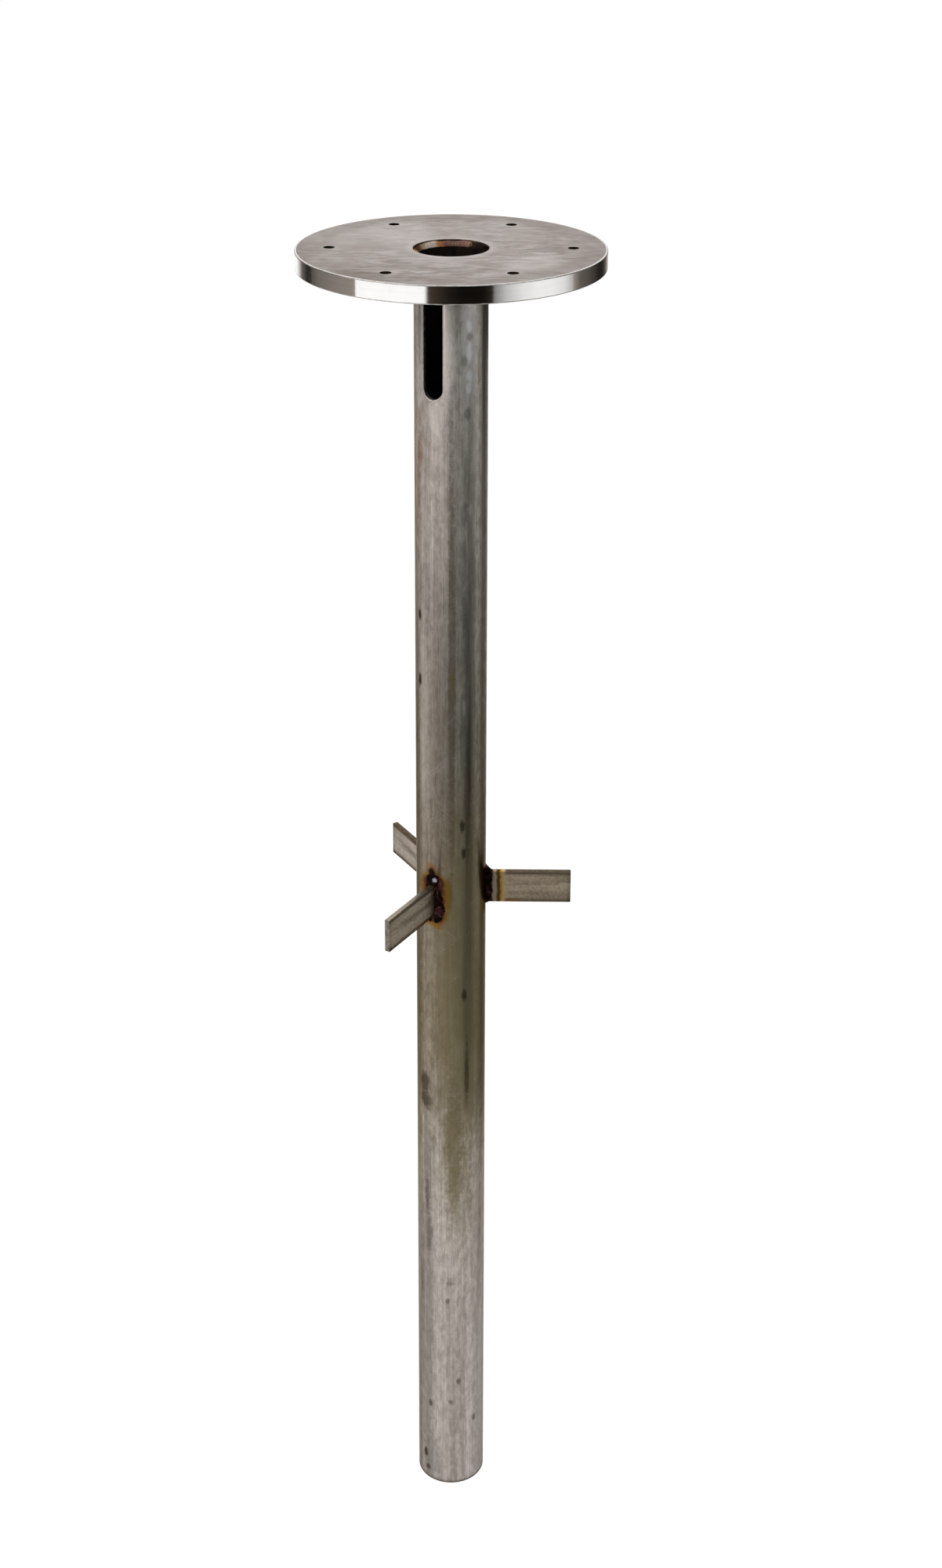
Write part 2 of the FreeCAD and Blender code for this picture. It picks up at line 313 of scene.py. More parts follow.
def slot_outline():
    """The slot's edge seen from the front, and where a ray from each of its points ends.

    One half is a straight side and the half circle above it, and the other is the same turned half round
    about the slot's middle. Gives the way outwards across and up, the height, and the ray's last angle and
    height.
    """
    middle = (SLOT_TOP + SLOT_FOOT) / 2
    straight = SLOT_TOP - SLOT_HALF_WIDTH - middle
    side = np.linspace(-1, 1, SLOT_SIDE_STEPS + 1)[:-1]
    bend = np.linspace(0, math.pi, TUBE_STEPS + 1)[:-1]
    half = np.stack([
        np.concatenate([np.ones_like(side), np.cos(bend)]),
        np.concatenate([np.zeros_like(side), np.sin(bend)]),
        np.concatenate([straight * side, straight + SLOT_HALF_WIDTH * np.sin(bend)]),
        np.concatenate([np.full_like(side, math.pi), math.pi - 2 * bend]),
        np.concatenate([side, np.ones_like(bend)]) * (BAND_TOP - middle),
    ])
    across, upward, height, end_angle, end_height = np.concatenate([half, -half, half[:, :1]], axis=1)
    return across, upward, middle + height, end_angle, middle + end_height


def slot_band(radius, edge_round):
    """The wall round the slot on one face of the tube.

    Rays wrap round the tube from the slot's edge: their angle and height go to the ray's end by a power of
    an even share, so that the points lie closer together at the slot.
    """
    across, upward, height, end_angle, end_height = slot_outline()
    share = np.linspace(0, 1, BAND_COLUMNS + 1) ** BAND_EASE
    start_angle = np.arcsin(across * (SLOT_HALF_WIDTH + edge_round) / radius)
    start_height = height + upward * edge_round
    angle = start_angle[:, None] + (end_angle - start_angle)[:, None] * share
    level = start_height[:, None] + (end_height - start_height)[:, None] * share
    return around_axis(radius, angle, level)


def slot_wall():
    """The cut through the tube's wall: straight, with a quarter round at each face, round the slot."""
    across, upward, height, _, _ = slot_outline()
    bend = np.linspace(0, math.pi / 2, SLOT_EDGE_ROWS)[:, None]
    rows = []
    for face, edge_round, way in ((TUBE_RADIUS, SLOT_OUTER_ROUND, 1), (TUBE_INSIDE, SLOT_INNER_ROUND, -1)):
        offset = edge_round * (1 - np.sin(bend[::way]))
        sink = way * edge_round * (1 - np.cos(bend[::way]))
        x = across * (SLOT_HALF_WIDTH + offset)
        y = sink - np.sqrt(face ** 2 - x ** 2)
        rows.append(np.stack([x, y, height + upward * offset], axis=-1))
    return np.concatenate(rows)


def make_tube(drawn, scale, slot_edge, cut_end):
    """The tube: a band with the slot in it, and plain walls above and below that end in cut edges."""
    angles = np.linspace(-math.pi, math.pi, TUBE_STEPS + 1)
    levels = np.linspace(BAND_FOOT, TUBE_FOOT + FOOT_CHAMFER * 2, TUBE_ROWS)
    outer = upright(TUBE_RADIUS, levels)
    inner = upright(TUBE_INSIDE, np.append(levels[::-INSIDE_SKIP], BAND_FOOT))
    foot = rounded([
        outer[-1],
        (TUBE_RADIUS, TUBE_FOOT + FOOT_CHAMFER),
        (TUBE_RADIUS - FOOT_CHAMFER, TUBE_FOOT),
        (TUBE_INSIDE + FOOT_CHAMFER, TUBE_FOOT),
        (TUBE_INSIDE, TUBE_FOOT + FOOT_CHAMFER),
        inner[0],
    ], FOOT_ROUND)
    head = np.concatenate([
        upright(TUBE_RADIUS, np.array([BAND_TOP, TUBE_TOP])),
        upright(TUBE_INSIDE, np.array([TUBE_TOP, BAND_TOP])),
    ])
    sheets = [
        (slot_band(TUBE_RADIUS, SLOT_OUTER_ROUND), drawn),
        (revolved(outer, angles), drawn),
        # the inside's finish is painted nearly black, as painted shade
        (slot_band(TUBE_INSIDE, SLOT_INNER_ROUND), scale),
        (revolved(inner, angles), scale),
        (revolved(head, angles), scale),
        (slot_wall(), slot_edge),
        (revolved(foot, angles), cut_end),
    ]
    make_piece("slotted_tube", sheets, "post_tube")


# Lugs

LUG_CORNER_STEPS = 6
LUG_SIDE_STEPS = 16
LUG_END_STEPS = 4
LUG_ROWS = 25
TIP_ROUND = 0.35 * MM
TIP_ROWS = 6
CAP_ROWS = 4
SMALLEST_ROUND = 0.1 * MM


def bar_outline(inset):
    """The flat bar's section pulled in by the inset: straight sides and round corners, across and up."""
    radius = max(LUG_EDGE_RADIUS - inset, SMALLEST_ROUND)
    wide = LUG_HALF_THICKNESS - inset - radius
    tall = LUG_HALF_HEIGHT - inset - radius
    bend = np.linspace(0, math.pi / 2, LUG_CORNER_STEPS + 1)
    parts = []
    for quarter, (side, end) in enumerate([(1, 1), (-1, 1), (-1, -1), (1, -1)]):
        turn = bend + quarter * math.pi / 2
        bent = np.stack([np.cos(turn), np.sin(turn)], axis=-1)
        corner = np.array([side * wide, end * tall]) + radius * bent
        if side == end:
            steps, stretch = LUG_END_STEPS, np.array([-2 * wide, 0])
        else:
            steps, stretch = LUG_SIDE_STEPS, np.array([0, -2 * tall])
        share = np.linspace(0, end, steps + 1)[1:-1, None]
        parts += [corner, corner[-1] + stretch * share]
    outline = np.concatenate(parts)
    return np.concatenate([outline, outline[:1]]).T


def lug_rows():
    """The bar from its root to its tip, its end and its root.

    The rows go from the tube's curve to a flat end with a quarter round at its edge. The end and the root
    are the bar's section shrunk to its middle.
    """
    across, up = bar_outline(0)
    root = on_skin(across, up)
    share = np.linspace(0, 1, LUG_ROWS)[:, None]
    reach = root[:, 1] + (TIP_ROUND - LUG_TIP - root[:, 1]) * share
    rows = [np.stack(np.broadcast_arrays(across, reach, up), axis=-1)]
    for bend in np.linspace(0, math.pi / 2, TIP_ROWS)[1:]:
        across_in, up_in = bar_outline(TIP_ROUND * (1 - math.cos(bend)))
        out = np.full_like(across_in, LUG_TIP - TIP_ROUND * (1 - math.sin(bend)))
        rows.append(np.stack([across_in, -out, up_in], axis=-1)[None])
    bar = np.concatenate(rows)
    shrink = np.linspace(1, 0, CAP_ROWS)[:, None]
    tip = np.stack(np.broadcast_arrays(bar[-1, :, 0] * shrink, -LUG_TIP, bar[-1, :, 2] * shrink), axis=-1)
    return bar, tip, on_skin(across * shrink, up * shrink)


def make_lug(place, rolled, sawn):
    """A flat bar set radially on the tube at its place."""
    bar, tip, root = (turned(grid + [0, 0, LUG_MIDDLE], LUG_ANGLES[place]) for grid in lug_rows())
    sheets = [(bar, rolled), (tip, sawn), (root, rolled)]
    make_piece(f"lug_{place}", sheets, f"anchor_lug_{place}")


# Weld beads

BEAD_ROWS = 14
BEAD_HOLLOW = 2.5
RING_BEAD_STEPS = 721
LUG_BEAD_STEPS = 421

# Ripples: their pitch and the share by which they swell a bead
TOP_RIPPLES = (2.4 * MM, 0.1)
UNDER_RIPPLES = (3.2 * MM, 0.1)
LUG_RIPPLES = (2.2 * MM, 0.07)

# How far the ripples run ahead in a bead's middle, how blunt they are, and the waves in which they drift,
# counted in ripples
RIPPLE_LEAD = 0.55
RIPPLE_BLUNT = 0.7
RIPPLE_DRIFT = ((7.3, 0.22, 0.4), (3.1, 0.14, 1.9))

# How the legs swell and shrink: waves in turns round a ring bead, and in metres along a lug's bead
FIRST_LEG_SWELL = ((1 / 5, 0.07, 0), (1 / 11, 0.06, 2), (1 / 23, 0.04, 4))
SECOND_LEG_SWELL = ((1 / 6, 0.07, 1), (1 / 13, 0.06, 3), (1 / 19, 0.04, 5))
LUG_LEG_SWELL = ((9 * MM, 0.08, 0.5), (4.1 * MM, 0.05, 2), (2.3 * MM, 0.03, 1))

# Each lug's own bead in millimetres: its legs on the tube beside and above the lug and on the lug, how far
# it runs on below the lug, and the extra width of a bulge low on its sides
LUG_BEADS = {
    "front": (3.9, 7.4, 2.4, 6.0, 3.0),
    "right": (5.0, 4.8, 4.2, 0.8, 0.5),
    "left": (5.0, 5.2, 4.0, 2.0, 1.0),
}
BULGE_HEIGHT = -6 * MM
BULGE_REACH = 7 * MM


def bead(root, first_toe, second_toe, along, pitch, ripple):
    """A weld bead carried along its root.

    Each section bends in a hollow curve from the first toe to the second, closed at the root: the sum of
    the legs, one times a power of the cosine and one times a power of the sine of an angle up to a right
    one. Rounded ripples, one for each pitch, lag behind at the toes and die away there.
    """
    bend = np.linspace(0, math.pi / 2, BEAD_ROWS)[None, :, None]
    first = (first_toe - root)[:, None] * np.cos(bend) ** BEAD_HOLLOW
    second = (second_toe - root)[:, None] * np.sin(bend) ** BEAD_HOLLOW
    middle = np.sin(2 * bend[..., 0])
    count = along / pitch
    phase = (count + wander(count, RIPPLE_DRIFT))[:, None] + RIPPLE_LEAD * middle
    crest = np.abs(np.sin(math.pi * phase)) ** RIPPLE_BLUNT - 0.5
    swell = 1 + ripple * middle * crest
    surface = root[:, None] + (first + second) * swell[..., None]
    return np.concatenate([surface, root[:, None], surface[:, :1]], axis=1)


def ring_bead(root, first_leg, second_leg, pitch, ripple):
    """A bead all round the axis, with a whole number of ripples.

    The root and the legs are (radius, height) pairs, and the legs swell and shrink as they go round.
    """
    angles = np.linspace(0, math.tau, RING_BEAD_STEPS)
    radius, height = root
    toes = []
    for (out, up), waves in ((first_leg, FIRST_LEG_SWELL), (second_leg, SECOND_LEG_SWELL)):
        size = 1 + wander(angles / math.tau, waves)
        toes.append(around_axis(radius + out * size, angles, height + up * size))
    length = radius * math.tau
    whole_pitch = length / round(length / pitch)
    return bead(around_axis(radius, angles, height), *toes, angles * radius, whole_pitch, ripple)


def lug_bead(side_leg, top_leg, lug_leg, overrun, bulge):
    """A bead up one side of a lug's root, over its top edge and down the other side, with rounded ends.

    The root follows the lug's section, and the legs stand square to it, along the tube and along the lug.
    """
    half, corner = LUG_HALF_THICKNESS, LUG_EDGE_RADIUS
    side = LUG_HALF_HEIGHT * 2 + overrun - corner
    bend = corner * math.pi / 2
    top = (half - corner) * 2
    length = side * 2 + bend * 2 + top
    along = np.linspace(0, length, LUG_BEAD_STEPS)
    from_middle = np.abs(along - length / 2)
    hand = np.sign(length / 2 - along)
    turn = np.clip((from_middle - top / 2) / bend, 0, 1) * math.pi / 2
    across = hand * (np.minimum(from_middle, top / 2) + corner * np.sin(turn))
    drop = np.maximum(from_middle - top / 2 - bend, 0)
    up = LUG_HALF_HEIGHT - corner + corner * np.cos(turn) - drop

    nose = np.sqrt(np.clip(np.minimum(along, length - along) / side_leg, 0, 1))
    uneven = wander(along, LUG_LEG_SWELL)
    wide = side_leg + bulge * np.exp(-((up - BULGE_HEIGHT) / BULGE_REACH) ** 2)
    tube_leg = (wide + (top_leg - wide) * np.cos(turn) ** 2) * nose * (1 + uneven)
    bar_leg = lug_leg * nose * (1 - uneven)
    root = on_skin(across, up)
    on_tube = on_skin(across + hand * np.sin(turn) * tube_leg, up + np.cos(turn) * tube_leg)
    on_lug = root - bar_leg[:, None] * [0, 1, 0]
    return bead(root, on_tube, on_lug, along, *LUG_RIPPLES)


def make_beads(ring_weld, lug_weld):
    """The two ring welds that hold the flange, and the weld round each lug."""
    top_leg = TOP_WELD_HIGH.z - TOP_WELD_LOW.z
    under_leg = UNDER_WELD_HIGH.z - UNDER_WELD_LOW.z
    upper = ring_bead((BORE_RADIUS, TUBE_TOP), (-top_leg, 0), (0, top_leg), *TOP_RIPPLES)
    under = ring_bead((TUBE_RADIUS, FLANGE_UNDERSIDE), (0, -under_leg), (under_leg, 0), *UNDER_RIPPLES)
    make_piece("bead_flange_top", [(upper, ring_weld)], "flange_weld_top")
    make_piece("bead_flange_under", [(under, ring_weld)], "flange_weld_under")
    for place, sizes in LUG_BEADS.items():
        grid = lug_bead(*(size * MM for size in sizes)) + [0, 0, LUG_MIDDLE]
        sheets = [(turned(grid, LUG_ANGLES[place]), lug_weld)]
        make_piece(f"bead_lug_{place}", sheets, f"lug_weld_{place}")


# Shader trees

# Noise lies mostly between these two values
NOISE_LOW, NOISE_HIGH = 0.3, 0.7

# Where a mix node has its sockets for two colours, and for the colour that they make
MIX_BELOW, MIX_ABOVE, MIX_RESULT = 6, 7, 2


class Nodes:
    """Short forms for adding shader nodes to one tree and joining them."""

    def __init__(self, tree):
        self.tree = tree

    def node(self, kind, *values, **settings):
        """A new node with its settings, and with values for its first sockets."""
        made = self.tree.nodes.new(f"ShaderNode{kind}")
        for name, value in settings.items():
            setattr(made, name, value)
        for socket, value in zip(made.inputs, values):
            self.feed(socket, value)
        return made

    def feed(self, socket, value):
        """Join a socket to another one, or set it to a number, a vector or a red, green and blue."""
        if isinstance(value, bpy.types.NodeSocket):
            self.tree.links.new(value, socket)
        else:
            socket.default_value = (*value, 1.0) if socket.type == "RGBA" else value

    def fill(self, made, values):
        """Feed a node's sockets by their names, and give its outputs."""
        for name, value in values.items():
            self.feed(made.inputs[name], value)
        return made.outputs

    def group(self, tree, **values):
        return self.fill(self.node("Group", node_tree=tree), values)

    def math(self, operation, *values):
        return self.node("Math", *values, operation=operation).outputs[0]

    def times(self, first, second):
        return self.math("MULTIPLY", first, second)

    def swing(self, value, reach):
        """A value from 0 to 1 as a swing by the reach to either side of 0."""
        return self.math("MULTIPLY_ADD", value, reach * 2, -reach)

    def beyond(self, value, limit):
        """How far a value lies past the limit, on either side of 0."""
        return self.math("MAXIMUM", self.math("SUBTRACT", self.math("ABSOLUTE", value), limit), 0.0)

    def diagonal(self, first, second):
        return self.math("SQRT", self.math("MULTIPLY_ADD", first, first, self.times(second, second)))

    def vector(self, operation, *values):
        made = self.node("VectorMath", *values, operation=operation)
        return made.outputs["Value" if operation in ("LENGTH", "DOT_PRODUCT") else "Vector"]

    def joined(self, *parts):
        return self.node("CombineXYZ", *parts).outputs[0]

    def parted(self, vector):
        return self.node("SeparateXYZ", vector).outputs

    def folded(self, place, count):
        """A place's angle, and how far it lies along and across the nearest of a number of even rays."""
        x, y, _ = self.parted(place)
        angle = self.math("ARCTAN2", x, self.times(y, -1.0))
        radius = self.diagonal(x, y)
        half_share = math.pi / count
        turn = self.math("WRAP", angle, half_share, -half_share)
        out, across = (self.times(radius, self.math(part, turn)) for part in ("COSINE", "SINE"))
        return angle, out, across

    def span(self, value, low, high, first=0.0, last=1.0):
        """The value's way from low to high, eased, as a number from first to last."""
        made = self.node("MapRange", value, low, high, first, last, interpolation_type="SMOOTHSTEP")
        return made.outputs[0]

    def noise(self, place, scale, detail=3.0, roughness=0.55, distortion=0.0):
        return self.fill(self.node("TexNoise"), {
            "Vector": place,
            "Scale": scale,
            "Detail": detail,
            "Roughness": roughness,
            "Distortion": distortion,
        })["Fac"]

    def clouds(self, place, **look):
        """Noise spread over the whole way from 0 to 1."""
        return self.span(self.noise(place, **look), NOISE_LOW, NOISE_HIGH)

    def ramp(self, value, stops):
        """Colours along a value; each stop is a place from 0 to 1 and a colour."""
        made = self.node("ValToRGB", value)
        band = made.color_ramp
        while len(band.elements) < len(stops):
            band.elements.new(0.5)
        for element, (place, colour) in zip(band.elements, stops):
            element.position = place
            element.color = (*colour, 1.0)
        return made.outputs["Color"]

    def blend(self, share, below, above, kind="MIX"):
        made = self.node("Mix", share, data_type="RGBA", blend_type=kind)
        self.feed(made.inputs[MIX_BELOW], below)
        self.feed(made.inputs[MIX_ABOVE], above)
        return made.outputs[MIX_RESULT]

    def shaded(self, tone, value, dark, light, share=1.0, stops=(0.0, 1.0)):
        """The tone times a shade that goes from dark to light along a value."""
        return self.blend(share, tone, self.ramp(value, list(zip(stops, (dark, light)))), "MULTIPLY")

    def bump(self, height, strength, distance):
        values = {"Strength": strength, "Distance": distance, "Height": height}
        return self.fill(self.node("Bump"), values)["Normal"]

    def mixed(self, share, first, second):
        return self.node("MixShader", share, first, second).outputs[0]

    def clear(self):
        return self.node("BsdfTransparent").outputs[0]


def new_group(name, inputs, outputs):
    """An empty shader group with named sockets: its tree, its nodes, what it is given and its end."""
    tree = bpy.data.node_groups.new(name, "ShaderNodeTree")
    for way, sockets in (("INPUT", inputs), ("OUTPUT", outputs)):
        for label, kind in sockets.items():
            tree.interface.new_socket(label, in_out=way, socket_type=f"NodeSocket{kind}")
    return tree, Nodes(tree), tree.nodes.new("NodeGroupInput").outputs, tree.nodes.new("NodeGroupOutput")


def new_material(name):
    """A material with one metal shader, its nodes and the object's own coordinates."""
    material = bpy.data.materials.new(name)
    material.use_nodes = True
    nodes = Nodes(material.node_tree)
    shader = material.node_tree.nodes["Principled BSDF"]
    shader.inputs["Metallic"].default_value = 1.0
    return material, nodes, shader, nodes.node("TexCoord").outputs["Object"]


def new_stage_material(name):
    """A material with an empty tree, and its nodes."""
    material = bpy.data.materials.new(name)
    material.use_nodes = True
    material.node_tree.nodes.clear()
    return material, Nodes(material.node_tree)


# Effects that several finishes share

# A stain is whole up to the first share of its reach and gone at the second, and a heat tint at its own
PATCH_WHOLE, PATCH_GONE = 0.4, 1.1
TINT_GONE = 1.08

# How far a scratch spreads from its contour in the noise, and where in another noise scratches come in
SCRATCH_WIDTH = 0.012
SCRATCHED_PLACES = (0.5, 0.62)

# How many times finer a film's mottle is than its patches
MOTTLE_FINENESS = 5.0


def make_lug_frame():
    """Where a place lies round the post.

    Out, across and up are seen from the nearest lug's middle; unrolled is the tube's skin laid flat.
    """
    tree, nodes, given, result = new_group("lug_frame", {"Place": "Vector"}, {
        "Out": "Float", "Across": "Float", "Up": "Float", "Height": "Float",
        "Front": "Float", "Left": "Float", "Unrolled": "Vector",
    })
    height = nodes.parted(given["Place"])[2]
    angle, out, across = nodes.folded(given["Place"], len(LUG_ANGLES))
    half_share = math.pi / len(LUG_ANGLES)
    nodes.fill(result, {
        "Out": out,
        "Across": across,
        "Up": nodes.math("SUBTRACT", height, LUG_MIDDLE),
        "Height": height,
        "Front": nodes.math("LESS_THAN", nodes.math("ABSOLUTE", angle), half_share),
        "Left": nodes.math("LESS_THAN", angle, -half_share),
        "Unrolled": nodes.joined(nodes.times(angle, TUBE_RADIUS), height),
    })
    return tree


def make_drawn_grain():
    """Lines along the steel: noise stretched lengthwise, as fine lines and as broad bands."""
    tree, nodes, given, result = new_group(
        "drawn_grain", {"Place": "Vector", "Stretch": "Vector"}, {"Lines": "Float", "Bands": "Float"})
    along = nodes.vector("MULTIPLY", given["Place"], given["Stretch"])
    nodes.fill(result, {
        "Lines": nodes.clouds(along, scale=1400.0, roughness=0.6),
        "Bands": nodes.clouds(along, scale=190.0, detail=4.0, roughness=0.6),
    })
    return tree


def make_cloudy_film():
    """Soft uneven patches of oil and handling, and a finer mottle."""
    tree, nodes, given, result = new_group(
        "cloudy_film", {"Place": "Vector", "Scale": "Float"}, {"Patches": "Float", "Mottle": "Float"})
    place, scale = given["Place"], given["Scale"]
    finer = nodes.times(scale, MOTTLE_FINENESS)
    nodes.fill(result, {
        "Patches": nodes.clouds(place, scale=scale, detail=5.0, roughness=0.6, distortion=0.8),
        "Mottle": nodes.clouds(place, scale=finer, detail=4.0, roughness=0.65, distortion=0.4),
    })
    return tree


def make_stain_patch():
    """One stain: an egg-shaped patch at a centre, its edge torn by the given noise, as a mask up to 1."""
    tree, nodes, given, result = new_group(
        "stain_patch",
        {"Place": "Vector", "Centre": "Vector", "Reach": "Vector", "Torn": "Float", "Strength": "Float"},
        {"Mask": "Float"})
    away = nodes.vector("SUBTRACT", given["Place"], given["Centre"])
    far = nodes.vector("LENGTH", nodes.vector("DIVIDE", away, given["Reach"]))
    cover = nodes.span(nodes.math("ADD", far, given["Torn"]), PATCH_WHOLE, PATCH_GONE, 1.0, 0.0)
    nodes.fill(result, {"Mask": nodes.times(cover, given["Strength"])})
    return tree


def make_heat_tint(name, stops, fade, drift):
    """Temper colours over steel, from the weld's toe to the end of their reach, where they fade out."""
    tree, nodes, given, result = new_group(
        name,
        {"Place": "Vector", "Steel": "Color", "Distance": "Float", "Reach": "Float", "Strength": "Float"},
        {"Colour": "Color"})
    uneven = nodes.swing(nodes.noise(given["Place"], scale=240.0), drift)
    share = nodes.math("ADD", nodes.math("DIVIDE", given["Distance"], given["Reach"]), uneven)
    mask = nodes.times(nodes.span(share, fade, TINT_GONE, 1.0, 0.0), given["Strength"])
    nodes.fill(result, {"Colour": nodes.blend(mask, given["Steel"], nodes.ramp(share, stops))})
    return tree


def make_fine_scratches():
    """Thin scratches along one direction: narrow contour lines of stretched noise, here and there."""
    tree, nodes, given, result = new_group(
        "fine_scratches", {"Place": "Vector", "Along": "Vector", "Side": "Vector"}, {"Mask": "Float"})
    skewed = (nodes.vector("DOT_PRODUCT", given["Place"], given[way]) for way in ("Along", "Side"))
    level = nodes.noise(nodes.joined(*skewed), scale=1.0, detail=2.0, roughness=0.5)
    from_contour = nodes.math("ABSOLUTE", nodes.math("SUBTRACT", level, 0.5))
    line = nodes.span(from_contour, 0.0, SCRATCH_WIDTH, 1.0, 0.0)
    here = nodes.span(nodes.noise(given["Place"], scale=55.0, detail=2.0), *SCRATCHED_PLACES)
    nodes.fill(result, {"Mask": nodes.times(line, here)})
    return tree


LUG_FRAME = make_lug_frame()
DRAWN_GRAIN = make_drawn_grain()
CLOUDY_FILM = make_cloudy_film()
STAIN_PATCH = make_stain_patch()
FINE_SCRATCHES = make_fine_scratches()
BAR_TINT = make_heat_tint("bar_tint", [
    (0.0, (0.02, 0.014, 0.01)),
    (0.12, (0.17, 0.135, 0.105)),
    (0.28, (0.22, 0.17, 0.125)),
    (0.42, (0.055, 0.03, 0.012)),
    (0.56, (0.07, 0.036, 0.01)),
    (0.72, (0.30, 0.185, 0.05)),
    (0.9, (0.36, 0.26, 0.115)),
], fade=0.8, drift=0.14)
TUBE_TINT = make_heat_tint("tube_tint", [
    (0.0, (0.012, 0.006, 0.004)),
    (0.2, (0.05, 0.016, 0.005)),
    (0.45, (0.17, 0.066, 0.01)),
    (0.75, (0.165, 0.11, 0.02)),
    (1.0, (0.18, 0.145, 0.07)),
], fade=0.3, drift=0.3)

# Where the temper colours start, out from a lug's faces on the tube and from the tube's skin on a lug, and
# how far they reach; the front lug's own weld is shorter, so that its colours start nearer the tube, and
# they lose some of their strength
TUBE_TOE, TUBE_TINT_REACH = 4 * MM, 7 * MM
LUG_TOE, LUG_TINT_REACH = 4.2 * MM, 9.6 * MM
FRONT_TOE_SHIFT = 7.8 * MM
FRONT_TINT_LOSS = 0.4


# Stains, with painted shade, a painted reflection and painted highlights among them

RUST = (0.19, 0.075, 0.015)
BURNT = (0.008, 0.006, 0.005)
DARK_SPOT = (0.03, 0.02, 0.013)
DARK_SMUDGE = (0.058, 0.047, 0.037)
BROWN_FILM_SHADOW_AND_REFLECTION = (0.07, 0.05, 0.03)
GREY_FILM_AND_SIDE_SHADE = (0.15, 0.135, 0.12)
AMBER_FILM = (0.13, 0.085, 0.012)
OLIVE_FILM = (0.125, 0.1, 0.05)
STRAW_FILM = (0.19, 0.155, 0.07)
GREEN_FILM = (0.07, 0.075, 0.06)
PALE_RUB_AND_HIGHLIGHT = (0.5, 0.46, 0.42)
BRIGHT_PAINTED_HIGHLIGHT = (0.62, 0.57, 0.52)
LILAC_PALE = (0.52, 0.51, 0.53)
COLD_PALE = (0.68, 0.68, 0.73)

